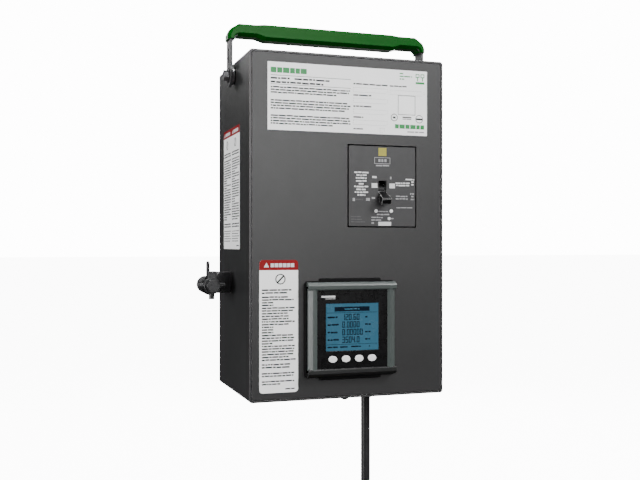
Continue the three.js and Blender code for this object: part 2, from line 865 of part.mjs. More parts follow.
// A solid through rings of points, each in the same order, with flat ends.
function loft(rings) {
  const sides = rings[0].length;
  const index = [];
  for (let ring = 0; ring + 1 < rings.length; ring += 1) {
    for (let i = 0; i < sides; i += 1) {
      const a = ring * sides + i;
      const b = ring * sides + ((i + 1) % sides);
      index.push(a, b, b + sides, a, b + sides, a + sides);
    }
  }
  const last = (rings.length - 1) * sides;
  for (let i = 1; i + 1 < sides; i += 1) {
    index.push(0, i + 1, i, last, last + i, last + i + 1);
  }
  const geometry = new THREE.BufferGeometry();
  geometry.setAttribute('position', new THREE.Float32BufferAttribute(rings.flat(2), 3));
  geometry.setIndex(index);
  return geometry;
}

// An eight-sided section between an inner and an outer point of the grip's outline.
function gripSection([[innerX, innerZ], [outerX, outerZ]]) {
  const length = Math.hypot(outerX - innerX, outerZ - innerZ);
  const facet = Math.min(gripFacetWidth / length, 0.3);
  const half = gripDepth / 2;
  const flat = half - gripFacetDepth;
  return [
    [0, -flat],
    [0, flat],
    [facet, half],
    [1 - facet, half],
    [1, flat],
    [1, -flat],
    [1 - facet, -half],
    [facet, -half],
  ].map(([along, y]) => [innerX + along * (outerX - innerX), y, innerZ + along * (outerZ - innerZ)]);
}

// A moulded grip over the strap's cross bar, thicker in the middle, with a short leg at each end.
function handleGrip() {
  const inner = legInner - gripInnerChamfer;
  const right = [
    [[gripMiddleHalf, gripMiddleUnderside], [gripMiddleHalf, gripMiddleTop]],
    [[gripMiddleHalf + gripMiddleRamp, gripUnderside], [gripMiddleHalf + gripMiddleRamp, gripTop]],
    [[inner, gripUnderside], [legOuter - gripOuterChamfer, gripTop]],
    [
      [legInner - 0.3 * gripInnerChamfer, gripUnderside - 0.45 * gripInnerChamfer],
      [legOuter - 0.27 * gripOuterChamfer, gripTop - 0.45 * gripOuterChamfer],
    ],
    [[legInner, gripLegBottom + 0.3], [legOuter, gripTop - gripOuterChamfer]],
    [[legInner, gripLegBottom], [legOuter, gripLegBottom]],
  ];
  const left = right.map(([low, high]) => [[-low[0], low[1]], [-high[0], high[1]]]).reverse();
  const bar = loft([...left, ...right].map(gripSection));
  const half = armWidth / 2 + touchGap;
  return cut(bar, [facePlate(strapOutline(touchGap), -half, half)]);
}

// A flanged hexagon bolt, drawn for the right side with its head outwards.
function handleBolt() {
  const seat = armOuter + touchGap;
  const flangeTop = seat + handleBoltFlangeThickness;
  const shankEnd = boxWidth / 2 - wall - touchGap - handleNutHeight - 2;
  return join([
    rodBetween(handleBoltFlange, seat, flangeTop, 'x'),
    rodBetween(handleBoltHead, flangeTop - touchGap, flangeTop + handleBoltHeadHeight, 'x', 6),
    rodBetween(handleShank, shankEnd, seat + touchGap, 'x'),
  ]);
}

function handleSpacer() {
  const ring = rodBetween(handleSpacerRadius, boxWidth / 2 + touchGap, armInner - touchGap, 'x');
  return cut(ring, [rod(handleShank + boreGap, 2 * armOuter, 'x')]);
}

function handleNut() {
  const seat = boxWidth / 2 - wall - touchGap;
  const nut = rodBetween(handleNutRadius, seat - handleNutHeight, seat, 'x', 6);
  return cut(nut, [rod(handleShank + boreGap, 2 * armOuter, 'x')]);
}

const handleParts = [
  part('handle_bail', handleBail(), 'darkSteel'),
  part('handle_grip', handleGrip(), 'greenPlastic'),
];
for (const [side, sign] of [['left', -1], ['right', 1]]) {
  const turnedOver = sign < 0 ? Math.PI : 0;
  for (const [name, geometry, finish] of [
    [`handle_bolt_${side}`, handleBolt(), 'darkSteel'],
    [`handle_spacer_${side}`, handleSpacer(), 'zincSteel'],
    [`handle_nut_${side}`, handleNut(), 'zincSteel'],
  ]) {
    const piece = part(name, geometry, finish);
    piece.rotation.z = turnedOver;
    handleParts.push(piece);
  }
}
const handle = assembly([0, handleY, handleZ], handleParts);

// ---------------------------------------------------------------- side clamp

// Places here are from the shaft's axis at the front face of the clamp block.
function clampBlock() {
  const outer = clampAxisOut - clampBlockOut;
  const inner = clampAxisOut - touchGap;
  const outline = polygon([
    [outer, -clampBlockBelow],
    [inner, -clampBlockBelow],
    [inner, clampBlockAbove],
    [outer + clampBlockChamfer, clampBlockAbove],
    [outer, clampBlockAbove - clampBlockChamfer],
  ]);
  const body = facePlate(outline, 0, clampDepth);
  const boss = rodBetween(clampBossRadius, 0, clampDepth, 'y');
  const bore = rod(clampShaftRadius + boreGap, 4 * clampDepth, 'y');
  const pinHole = rodBetween(lockPinRadius + boreGap, 0, lockPinTop, 'z', coarse);
  pinHole.translate(0, lockPinSetback, 0);
  const screwHole = rodBetween(
    clampScrewShank + boreGap,
    clampAxisOut - clampScrewReach - overshoot,
    clampAxisOut + overshoot,
    'x',
    coarse,
  ).translate(0, clampDepth / 2, clampScrewAbove);
  return cut(join([body, boss]), [bore, pinHole, screwHole]);
}

// The shaft with its hexagon head, points to the sides.
function clampBolt() {
  const discFront = -touchGap - clampDiscThickness;
  const knobFront = discFront - touchGap - clampKnobThickness;
  const headRear = knobFront - touchGap;
  const shaftEnd = clampDepth + touchGap + clampDogThickness + 1;
  const head = hexBetween(clampHexFlats, headRear - clampHexHeight, headRear, 'y').rotateY(Math.PI / 6);
  return join([head, rodBetween(clampShaftRadius, headRear - touchGap, shaftEnd, 'y')]);
}

// Four arms around a hub: three round ones and a wider lug at the top.
function clampKnob() {
  const rear = -2 * touchGap - clampDiscThickness;
  const middle = rear - clampKnobThickness / 2;
  const hub = rodBetween(clampKnobHub, rear - clampKnobThickness, rear, 'y');
  const bar = rod(clampArmRadius, 2 * clampArmReach, 'x', coarse).translate(0, middle, 0);
  const lower = rodBetween(clampArmRadius, -clampArmReach, 0, 'z', coarse).translate(0, middle, 0);
  const lug = blockBetween(
    [-clampLugWidth / 2, middle - clampLugWidth / 2, 0],
    [clampLugWidth / 2, middle + clampLugWidth / 2, clampLugReach],
  );
  const bore = rod(clampShaftRadius + boreGap, 8 * clampKnobThickness, 'y');
  return cut(join([hub, bar, lower, lug]), [bore]);
}

function clampDisc() {
  const disc = rodBetween(clampDiscRadius, -touchGap - clampDiscThickness, -touchGap, 'y', fine);
  return cut(disc, [rod(clampShaftRadius + boreGap, 4 * clampDiscThickness, 'y')]);
}

// The latch dog behind the block, pointing to the wall when open.
function clampDog() {
  const front0 = clampDepth + touchGap;
  const rear = front0 + clampDogThickness;
  const hub = rodBetween(clampDogWidth / 2 + 2, front0, rear, 'y');
  const finger = blockBetween(
    [0, front0, -clampDogWidth / 2],
    [clampDogReach, rear, clampDogWidth / 2],
  );
  return cut(join([hub, finger]), [rodBetween(clampShaftRadius + boreGap, 0, 2 * rear, 'y')]);
}

// A round-topped plunger that stands on the shaft.
function lockPin() {
  const foot = clampShaftRadius + touchGap + 0.2;
  return turned([
    [0, foot],
    [lockPinRadius, foot],
    [lockPinRadius, lockPinTop - lockPinRadius],
    [0.85 * lockPinRadius, lockPinTop - 0.5 * lockPinRadius],
    [0.5 * lockPinRadius, lockPinTop - 0.13 * lockPinRadius],
    [0, lockPinTop],
  ], coarse);
}

// A cap screw from inside the box through the wall into the block.
function clampScrew() {
  const seat = clampAxisOut + wall + touchGap;
  return join([
    rodBetween(clampScrewHead, seat, seat + clampScrewHeadHeight, 'x', coarse),
    rodBetween(clampScrewShank, clampAxisOut - clampScrewReach, seat + touchGap, 'x', coarse),
  ]);
}

const clamp = assembly([clampX, clampY, clampZ], [
  part('clamp_block', clampBlock(), 'castBlack'),
  part('clamp_bolt', clampBolt(), 'castBlack'),
  part('clamp_knob', clampKnob(), 'castBlack'),
  part('clamp_disc', clampDisc(), 'castBlack'),
  part('clamp_dog', clampDog(), 'darkSteel'),
  part('clamp_lock_pin', lockPin(), 'zincSteel', [0, lockPinSetback, 0]),
  part('clamp_screw', clampScrew(), 'zincSteel', [0, clampDepth / 2, clampScrewAbove]),
]);

// ---------------------------------------------------------------- gland, cord and connector

// Places here are from the gland's axis at the box's bottom face.
function glandBody() {
  const hex = hexBetween(glandHexFlats, -touchGap - glandHexHeight, -touchGap, 'z');
  const thread = rodBetween(glandThread, -2 * touchGap, glandThreadRise, 'z');
  return cut(join([hex, thread]), [rod(cordRadius + cordGap, 8 * glandThreadRise, 'z')]);
}

function glandLocknut() {
  const low = wall + touchGap;
  const nut = hexBetween(glandLocknutFlats, low, low + glandLocknutHeight, 'z');
  return cut(nut, [rod(glandThread + boreGap, 8 * glandThreadRise, 'z')]);
}

// The tapered strain relief below the gland's body.
function glandNut() {
  const high = -2 * touchGap - glandHexHeight;
  const bore = cordRadius + cordGap;
  const taper = (glandNutTop + glandNutEnd) / 2;
  return turned([
    [bore, -glandLength],
    [glandNutEnd, -glandLength],
    [taper, -0.75 * glandLength],
    [glandNutTop, -0.55 * glandLength],
    [glandNutTop, high],
    [bore, high],
    [bore, -glandLength],
  ]);
}

function cordTube(points) {
  return tube(points, cordRadius, points.length - 1, cordSides);
}

// The outer shape of the coil's turns: a ring about Y with a round-ended section.
function cordCoil() {
  const straight = coilHalfWidth - cordRadius;
  const outline = [];
  for (const [end, start] of [[1, 0], [-1, Math.PI]]) {
    for (let i = 0; i <= coilEndArc; i += 1) {
      const angle = start + (Math.PI * i) / coilEndArc;
      const out = coilRadius + cordRadius * Math.cos(angle);
      outline.push([out, end * straight + cordRadius * Math.sin(angle)]);
    }
  }
  outline.push(outline[0]);
  return turned(outline, fine).rotateX(Math.PI / 2);
}

// A strap around the turns where the cord comes down, wrapped across their section.
function coilTie() {
  const inside = [cordDiameter + 4 * touchGap, 2 * coilHalfWidth + 4 * touchGap];
  const outside = inside.map((size) => size + 2 * tieThickness);
  const band = plate(roundedRect(...outside, cordRadius), tieWidth, 'xy');
  const hole = plate(roundedRect(...inside, cordRadius), 2 * tieWidth, 'xy');
  return cut(band, [hole]);
}

const clampEnd = connectorTop - connectorClampLength;
const shellTop = clampEnd - touchGap;
const shellEnd = shellTop - connectorShellLength;
const faceTop = shellEnd - touchGap;
const faceEnd = faceTop - connectorFaceThickness;

function connectorClamp() {
  return turned([
    [0, clampEnd],
    [connectorClampEnd, clampEnd],
    [connectorClampEnd, clampEnd + connectorClampLength / 3],
    [connectorClampTop, connectorTop],
    [0, connectorTop],
  ]);
}

function connectorShell() {
  return turned([
    [0, shellEnd],
    [connectorShellRadius, shellEnd],
    [connectorShellRadius, shellTop - 14],
    [connectorShellNeck, shellTop],
    [0, shellTop],
  ], fine);
}

// The insulating face with three curved blade slots around its centre.
function connectorFace() {
  const face = rodBetween(connectorFaceRadius, faceEnd, faceTop, 'z', fine);
  const slots = [0, 1, 2].map((i) => {
    const slot = block(bladeSlotWidth, bladeSlotLength, connectorFaceThickness);
    slot.translate(bladeSlotRing, 0, faceEnd);
    return slot.rotateZ((2 * Math.PI * i) / 3);
  });
  return cut(face, slots);
}

const connectorX = cordTail[0][0];
const connectorY = cordTail[0][1];

// The tail starts as high as the coil's outer edge lets it.
const tailInnerEdge = connectorX - cordRadius - coilCentre[0];
const tailTop = coilCentre[2] - Math.sqrt((coilRadius + cordRadius + tailGap) ** 2 - tailInnerEdge ** 2);
const connectorPlace = [connectorX, connectorY, 0];

const drop = assembly([glandX, glandY, bottom], [
  part('gland_body', glandBody(), 'blackPlastic'),
  part('gland_locknut', glandLocknut(), 'zincSteel'),
  part('gland_nut', glandNut(), 'blackPlastic'),
  part('power_cord', cordTube(cordDown), 'blackRubber'),
  part('cord_coil', cordCoil(), 'blackRubber', coilCentre),
  part('cord_tail', cordTube([[connectorX, connectorY, tailTop], ...cordTail]), 'blackRubber'),
  part('coil_tie', coilTie(), 'blackPlastic', [connectorX, coilCentre[1], coilCentre[2]]),
  part('connector_clamp', connectorClamp(), 'blackPlastic', connectorPlace),
  part('connector_shell', connectorShell(), 'yellowPlastic', connectorPlace),
  part('connector_face', connectorFace(), 'blackPlastic', connectorPlace),
]);

// ---------------------------------------------------------------- inside

const lugY = front + lugSetback;
const breakerHalfHeight = breakerCaseHeight / 2;
const lugTopZ = breakerCentreZ + breakerHalfHeight - lugPocketHeight + 2;
const lugBottomZ = breakerCentreZ - breakerHalfHeight + lugPocketHeight - 2;
const cordEndZ = bottom + cordDown[0][2] + touchGap;

// Three windows in one block, under the breaker's load lugs.
function currentTransformer() {
  const size = [breakerCaseWidth, currentTransformerDepth, currentTransformerHeight];
  const windows = [];
  for (let i = 0; i < poleCount; i += 1) {
    const window = rod(currentTransformerWindow, 4 * currentTransformerHeight, 'z');
    windows.push(window.translate(poleX(i), 0, 0));
  }
  return cut(block(...size), windows);
}

// Where a core leaves the cord's end, by its quarter of the circle.
function coreEnd(quarter) {
  const angle = Math.PI / 4 + (quarter * Math.PI) / 2;
  return [glandX + wireRing * Math.cos(angle), glandY + wireRing * Math.sin(angle)];
}

function wireFromJaw(index) {
  const x = breakerCentreX + poleX(index);
  const start = stabInnerFace - touchGap;
  const above = breakerCentreZ + breakerHalfHeight + 14;
  return tube([
    [jawX(index), start, stabCentreZ],
    [jawX(index), start - 10, stabCentreZ],
    [(jawX(index) + x) / 2, (start + lugY) / 2, above],
    [x, lugY + 6, above - 3],
    [x, lugY, above - 12],
    [x, lugY, lugTopZ],
  ], wireRadius, 18);
}

function wireToCord(index, quarter) {
  const x = breakerCentreX + poleX(index);
  const [endX, endY] = coreEnd(quarter);
  const below = breakerCentreZ - breakerHalfHeight - currentTransformerHeight - 8;
  return tube([
    [x, lugY, lugBottomZ],
    [x, lugY, below],
    [x + (endX - x) * 0.35, lugY + (endY - lugY) * 0.35, below - 34],
    [x + (endX - x) * 0.8, lugY + (endY - lugY) * 0.8, cordEndZ + 34],
    [endX, endY, cordEndZ + 12],
    [endX, endY, cordEndZ],
  ], wireRadius, 18);
}

// The neutral runs down beside the breaker, straight from the last jaw to the cord.
function neutralWire() {
  const start = stabInnerFace - touchGap;
  const besideBreaker = boxWidth / 2 - wall - 4 * wireRadius;
  const [endX, endY] = coreEnd(0);
  return tube([
    [jawX(jawCount - 1), start, stabCentreZ - 12],
    [jawX(jawCount - 1), start - 8, stabCentreZ - 12],
    [besideBreaker - 20, start - 8, stabCentreZ - 16],
    [besideBreaker, start - 6, stabCentreZ - 40],
    [besideBreaker, start - 6, breakerCentreZ - breakerHalfHeight],
    [besideBreaker - 6, start - 4, cordEndZ + 70],
    [endX + 12, endY, cordEndZ + 34],
    [endX, endY, cordEndZ + 12],
    [endX, endY, cordEndZ],
  ], wireRadius, 30);
}

function groundBar() {
  const bar = block(groundBarWidth, groundBarDepth, groundBarLength);
  const holes = [];
  for (let i = 0; i < groundBarHoles; i += 1) {
    const z = (i - (groundBarHoles - 1) / 2) * (groundBarLength / groundBarHoles);
    holes.push(rod(wireRadius + boreGap, 4 * groundBarWidth, 'x', coarse).translate(0, 0, z));
  }
  return cut(bar, holes);
}

function fuseBlock() {
  const base = block(fuseBlockWidth, fuseBlockDepth, fuseBlockHeight);
  const pieces = [base];
  for (let i = 0; i < fuseCount; i += 1) {
    const x = (i - (fuseCount - 1) / 2) * (fuseBlockWidth / fuseCount);
    pieces.push(rod(fuseRadius, 0.8 * fuseBlockHeight, 'z', coarse).translate(x, -fuseBlockDepth / 2, 0));
  }
  return join(pieces);
}

const transformerZ = breakerCentreZ - breakerHalfHeight - currentTransformerHeight / 2 - 2;
const groundBarPlace = [boxWidth / 2 - wall - 2 * groundBarWidth, -wall - touchGap - groundBarDepth / 2];
const fuseBlockPlace = [leftWall + wall + 5 + fuseBlockWidth / 2, -wall - touchGap - fuseBlockDepth / 2];

const inside = assembly([0, 0, 0], [
  part('current_transformer', currentTransformer(), 'blackPlastic', [breakerCentreX, lugY, transformerZ]),
  part('ground_bar', groundBar(), 'copper', [...groundBarPlace, meterCentreZ - 10]),
  part('meter_fuse_block', fuseBlock(), 'blackPlastic', [...fuseBlockPlace, meterCentreZ]),
  part('line_wire_1', wireFromJaw(0), 'blackRubber'),
  part('line_wire_2', wireFromJaw(1), 'redWire'),
  part('line_wire_3', wireFromJaw(2), 'blueWire'),
  part('load_wire_1', wireToCord(0, 1), 'blackRubber'),
  part('load_wire_2', wireToCord(1, 2), 'redWire'),
  part('load_wire_3', wireToCord(2, 3), 'blueWire'),
  part('neutral_wire', neutralWire(), 'whitePlastic'),
]);

export default assembly([0, 0, 0], [enclosure, breaker, meter, handle, clamp, drop, inside]);
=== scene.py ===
"""Looks for the plug-in power distribution box: camera, cord, finishes, moulded and printed detail, studio.

Lengths are millimetres in the CAD's frame and become metres where a mesh is made. The cord's exit and
length and everything in the studio are in metres.
"""
import json
import math
import random

import bmesh
import bpy
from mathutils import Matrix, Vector


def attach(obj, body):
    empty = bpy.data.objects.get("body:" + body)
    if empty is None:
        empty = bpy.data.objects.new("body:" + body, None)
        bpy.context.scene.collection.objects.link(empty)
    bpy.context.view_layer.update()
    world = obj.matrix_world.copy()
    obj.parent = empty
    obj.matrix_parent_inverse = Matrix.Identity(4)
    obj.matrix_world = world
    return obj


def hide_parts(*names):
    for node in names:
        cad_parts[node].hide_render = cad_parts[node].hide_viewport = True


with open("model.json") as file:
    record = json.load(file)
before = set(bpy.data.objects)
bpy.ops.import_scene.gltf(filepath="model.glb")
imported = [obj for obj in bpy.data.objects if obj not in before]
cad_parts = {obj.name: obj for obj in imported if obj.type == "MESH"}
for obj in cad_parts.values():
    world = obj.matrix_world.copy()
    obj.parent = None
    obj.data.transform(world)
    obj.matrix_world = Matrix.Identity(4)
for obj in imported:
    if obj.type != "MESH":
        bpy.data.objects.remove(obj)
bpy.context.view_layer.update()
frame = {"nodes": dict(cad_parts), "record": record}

MM = 0.001
NODES = frame["nodes"]
SLOT_OF = {row["node"]: row["material_slot"] for row in frame["record"]["subparts"]}
BODY_OF = {n: body for body, names in frame["record"]["behaviour"]["bodies"].items() for n in names}

# Outer faces of the box's front, left wall and bottom
FRONT_Y = -146.0
LEFT_X = -106.5
BOTTOM_Z = -177.5

# Right, down and outwards on the front and on the left wall
ON_FRONT = ((1, 0, 0), (0, 0, -1), (0, -1, 0))
ON_LEFT = ((0, -1, 0), (0, 0, -1), (-1, 0, 0))

# ---------------------------------------------------------------- camera

CAMERA_PLACE = (-315.0, -998.3, -19.1)
CAMERA_AIM = (0.3148, 0.949, 0.0)
CAMERA_LENS = 49.275
CAMERA_SHIFT_Y = 0.0078125

camera_data = bpy.data.cameras.new("camera")
camera_data.lens = CAMERA_LENS
camera_data.sensor_width = 36
camera_data.shift_y = CAMERA_SHIFT_Y
camera_data.clip_start = 0.01
camera_data.clip_end = 50
camera = bpy.data.objects.new("camera", camera_data)
camera.location = Vector(CAMERA_PLACE) * MM
camera.rotation_euler = Vector(CAMERA_AIM).to_track_quat("-Z", "Y").to_euler()
bpy.context.scene.collection.objects.link(camera)
bpy.context.scene.camera = camera

# ---------------------------------------------------------------- finishes


def add(tree, kind, inputs=None, **settings):
    """Adds a node; an input is a value or another node's socket."""
    made = tree.nodes.new(kind)
    for key, value in settings.items():
        setattr(made, key, value)
    for key, value in (inputs or {}).items():
        if isinstance(value, bpy.types.NodeSocket):
            tree.links.new(value, made.inputs[key])
        else:
            made.inputs[key].default_value = value
    return made


def noise(tree, place, scale, detail=4.0, roughness=0.55):
    inputs = {"Vector": place, "Scale": scale, "Detail": detail, "Roughness": roughness}
    return add(tree, "ShaderNodeTexNoise", inputs).outputs["Fac"]


def between(tree, value, low, high, to_low=0.0, to_high=1.0):
    inputs = {"Value": value, "From Min": low, "From Max": high, "To Min": to_low, "To Max": to_high}
    return add(tree, "ShaderNodeMapRange", inputs).outputs["Result"]


def mixed(tree, share, first, second):
    made = tree.nodes.new("ShaderNodeMix")
    made.data_type = "RGBA"
    tree.links.new(share, made.inputs[0])
    for index, value in ((6, first), (7, second)):
        if isinstance(value, bpy.types.NodeSocket):
            tree.links.new(value, made.inputs[index])
        else:
            made.inputs[index].default_value = value
    return made.outputs[2]


def shade(colour, factor):
    return tuple(min(1.0, c * factor) for c in colour[:3]) + (1.0,)


def surface(name, colour, roughness, metallic=0.0, cloud=0.12, cloud_scale=14.0, grain=900.0,
            grain_depth=0.03, stretch=(1, 1, 1), rough_spread=0.07, wear_and_highlight_colour=None, wear_and_highlight=0.0, wear_and_highlight_radius=0.7,
            coat=0.0, level=0.5, scratches=0.0, speck=0.0, wear_and_highlight_gaps=1.0, glow=None):
    """A finish with colour clouds, grain in its bump, uneven gloss and, when asked for, pale rounded edges:
    rubbed edges on most finishes, a painted highlight on the toggle's and the box's.
    """
    material = bpy.data.materials.new(name)
    material.use_nodes = True
    tree = material.node_tree
    tree.nodes.clear()
    shader = add(tree, "ShaderNodeBsdfPrincipled")
    add(tree, "ShaderNodeOutputMaterial", {"Surface": shader.outputs[0]})
    place = add(tree, "ShaderNodeTexCoord").outputs["Object"]
    grained = add(tree, "ShaderNodeMapping", {"Vector": place, "Scale": stretch}).outputs[0]
    clouds = noise(tree, place, cloud_scale, 5.0, 0.6)
    paint = mixed(tree, between(tree, clouds, 0.3, 0.7), shade(colour, 1 - cloud), shade(colour, 1 + cloud))
    fine = noise(tree, grained, grain, 3.0, 0.6)
    if speck:
        specks = between(tree, noise(tree, grained, grain * 0.6, 2.0, 0.5), 0.62, 0.74, 0.0, speck)
        paint = mixed(tree, specks, paint, shade(colour, 2.2))
    smudge = noise(tree, place, cloud_scale * 3.7, 6.0, 0.65)
    gloss = between(tree, smudge, 0.3, 0.7, roughness - rough_spread, roughness + rough_spread)
    if scratches:
        drawn = {"Vector": place, "Scale": (900, 14, 14), "Rotation": (0.3, 0.7, 0.2)}
        along = add(tree, "ShaderNodeMapping", drawn)
        lines = between(tree, noise(tree, along.outputs[0], 1.0, 2.0, 0.5), 0.66, 0.72, 0.0, scratches)
        paint = mixed(tree, lines, paint, shade(colour, 1.9))
    # Pale rounded edges: rubbed paint, and on some finishes a painted highlight along the edges.
    if wear_and_highlight_colour is not None and wear_and_highlight:
        soft = add(tree, "ShaderNodeBevel", {"Radius": wear_and_highlight_radius * MM}, samples=4).outputs["Normal"]
        flat = add(tree, "ShaderNodeNewGeometry").outputs["Normal"]
        turned = add(tree, "ShaderNodeVectorMath", {0: soft, 1: flat}, operation="DOT_PRODUCT")
        facing = turned.outputs["Value"]
        edge = between(tree, facing, 0.995, 0.86)
        patchy = between(tree, noise(tree, place, 240.0, 4.0, 0.7), 0.35, 0.6, 1.0 - 0.85 * wear_and_highlight_gaps, 1.0)
        mask = add(tree, "ShaderNodeMath", {0: edge, 1: patchy}, operation="MULTIPLY").outputs[0]
        mask = add(tree, "ShaderNodeMath", {0: mask, 1: wear_and_highlight}, operation="MULTIPLY").outputs[0]
        paint = mixed(tree, mask, paint, tuple(wear_and_highlight_colour) + (1.0,))
    tree.links.new(paint, shader.inputs["Base Color"])
    tree.links.new(gloss, shader.inputs["Roughness"])
    bump = add(tree, "ShaderNodeBump", {"Height": fine, "Strength": 1.0, "Distance": grain_depth * MM})
    tree.links.new(bump.outputs[0], shader.inputs["Normal"])
    shader.inputs["Metallic"].default_value = metallic
    shader.inputs["Specular IOR Level"].default_value = level
    if coat:
        shader.inputs["Coat Weight"].default_value = coat
        shader.inputs["Coat Roughness"].default_value = 0.12
    if glow:
        tree.links.new(paint, shader.inputs["Emission Color"])
        shader.inputs["Emission Strength"].default_value = glow
    return material


FINISH = {
    # Box paint; its pale rounded edges are partly rubbed paint, partly a painted highlight.
    "box_paint": surface(
        "box_paint_finish", (0.017, 0.017, 0.018), 0.4, cloud=0.1, grain=1400, grain_depth=0.012,
        rough_spread=0.02, wear_and_highlight_colour=(0.5, 0.5, 0.51), wear_and_highlight=0.15, wear_and_highlight_radius=0.8, speck=0.12, wear_and_highlight_gaps=0.15,
        scratches=0.1,
    ),
    "cover_paint": surface(
        "cover_paint_finish", (0.019, 0.019, 0.0195), 0.42, cloud=0.06, grain=1400, rough_spread=0.015,
        grain_depth=0.012, wear_and_highlight_colour=(0.3, 0.3, 0.31), wear_and_highlight=0.35, wear_and_highlight_radius=0.6, speck=0.12, scratches=0.08,
    ),
    "dark_screw": surface(
        "dark_screw_finish", (0.12, 0.12, 0.125), 0.36, metallic=0.9, grain=700, grain_depth=0.02,
        wear_and_highlight_colour=(0.6, 0.6, 0.61), wear_and_highlight=0.6, wear_and_highlight_radius=0.4,
    ),
    "zinc_steel": surface(
        "zinc_steel_finish", (0.6, 0.61, 0.62), 0.36, metallic=1.0, cloud=0.2, cloud_scale=120,
        grain=600, grain_depth=0.02,
    ),
    "bail_steel": surface(
        "bail_steel_finish", (0.05, 0.05, 0.052), 0.42, metallic=0.3, cloud=0.15, cloud_scale=60,
        grain=260, grain_depth=0.02, stretch=(1, 4, 1), wear_and_highlight_colour=(0.4, 0.4, 0.41), wear_and_highlight=0.5, wear_and_highlight_radius=0.5,
    ),
    "pin_steel": surface(
        "pin_steel_finish", (0.02, 0.02, 0.021), 0.35, metallic=0.3, cloud=0.1, cloud_scale=200,
        grain=900, grain_depth=0.01, wear_and_highlight_colour=(0.3, 0.3, 0.3), wear_and_highlight=0.3,
    ),
    "black_moulding": surface(
        "black_moulding_finish", (0.006, 0.006, 0.0063), 0.4, cloud=0.15, cloud_scale=40, grain=2200,
        grain_depth=0.02, wear_and_highlight_colour=(0.09, 0.09, 0.095), wear_and_highlight=0.4, wear_and_highlight_radius=0.4,
    ),
    "jaw_copper": surface(
        "jaw_copper_finish", (0.72, 0.38, 0.22), 0.3, metallic=1.0, cloud=0.2, cloud_scale=160,
        grain=500, grain_depth=0.015, wear_and_highlight_colour=(0.9, 0.6, 0.45), wear_and_highlight=0.4, wear_and_highlight_radius=0.3,
    ),
    "bar_brass": surface(
        "bar_brass_finish", (0.75, 0.56, 0.24), 0.3, metallic=1.0, cloud=0.15, cloud_scale=90, grain=500,
        grain_depth=0.02,
    ),
    "breaker_grey": surface(
        "breaker_grey_finish", (0.026, 0.026, 0.027), 0.5, cloud=0.06, cloud_scale=30, grain=1700,
        grain_depth=0.03, wear_and_highlight_colour=(0.16, 0.16, 0.16), wear_and_highlight=0.35, wear_and_highlight_radius=0.4,
    ),
    "white_plastic": surface(
        "white_plastic_finish", (0.82, 0.82, 0.81), 0.35, cloud=0.04, cloud_scale=60, grain=1500,
        grain_depth=0.01, coat=0.2,
    ),
    "gasket_black": surface(
        "gasket_black_finish", (0.003, 0.003, 0.0032), 0.7, cloud=0.2, cloud_scale=50, grain=1300,
        grain_depth=0.05, level=0.12,
    ),
    "meter_grey": surface(
        "meter_grey_finish", (0.047, 0.058, 0.055), 0.36, cloud=0.06, cloud_scale=40, grain=1900,
        grain_depth=0.018, wear_and_highlight_colour=(0.3, 0.31, 0.31), wear_and_highlight=0.25, wear_and_highlight_radius=0.4,
    ),
    "meter_black": surface(
        "meter_black_finish", (0.003, 0.003, 0.0032), 0.3, level=0.2, cloud=0.1, cloud_scale=50,
        grain=2400, grain_depth=0.012,
    ),
    "screen_glass": surface(
        "screen_glass_finish", (0.026, 0.088, 0.135), 0.25, cloud=0.05, cloud_scale=26, grain=3000,
        grain_depth=0.004, level=0.2, glow=0.17,
    ),
    "grip_green": surface(
        "grip_green_finish", (0.0002, 0.068, 0.003), 0.3, cloud=0.05, cloud_scale=22, grain=700,
        grain_depth=0.006, rough_spread=0.02, wear_and_highlight_colour=(0.01, 0.2, 0.03), wear_and_highlight=0.12, wear_and_highlight_radius=0.5,
        level=0.1,
    ),
    "clamp_iron": surface(
        "clamp_iron_finish", (0.026, 0.026, 0.0275), 0.4, metallic=0.2, cloud=0.25, cloud_scale=120,
        grain=520, grain_depth=0.06, wear_and_highlight_colour=(0.42, 0.42, 0.43), wear_and_highlight=0.65, wear_and_highlight_radius=0.6,
    ),
    "cord_jacket": surface(
        "cord_jacket_finish", (0.013, 0.013, 0.014), 0.4, cloud=0.2, cloud_scale=70, grain=900,
        grain_depth=0.04, stretch=(1, 1, 0.25),
    ),
    "connector_yellow": surface(
        "connector_yellow_finish", (0.6, 0.38, 0.025), 0.4, cloud=0.08, cloud_scale=40, grain=1500,
        grain_depth=0.025, wear_and_highlight_colour=(0.75, 0.6, 0.2), wear_and_highlight=0.3, wear_and_highlight_radius=0.5,
    ),
    "wire_black": surface("wire_black_finish", (0.015, 0.015, 0.016), 0.4),
    "wire_red": surface("wire_red_finish", (0.35, 0.02, 0.015), 0.4),
    "wire_blue": surface("wire_blue_finish", (0.02, 0.06, 0.25), 0.4),
    "wire_white": surface("wire_white_finish", (0.75, 0.75, 0.73), 0.4),
}

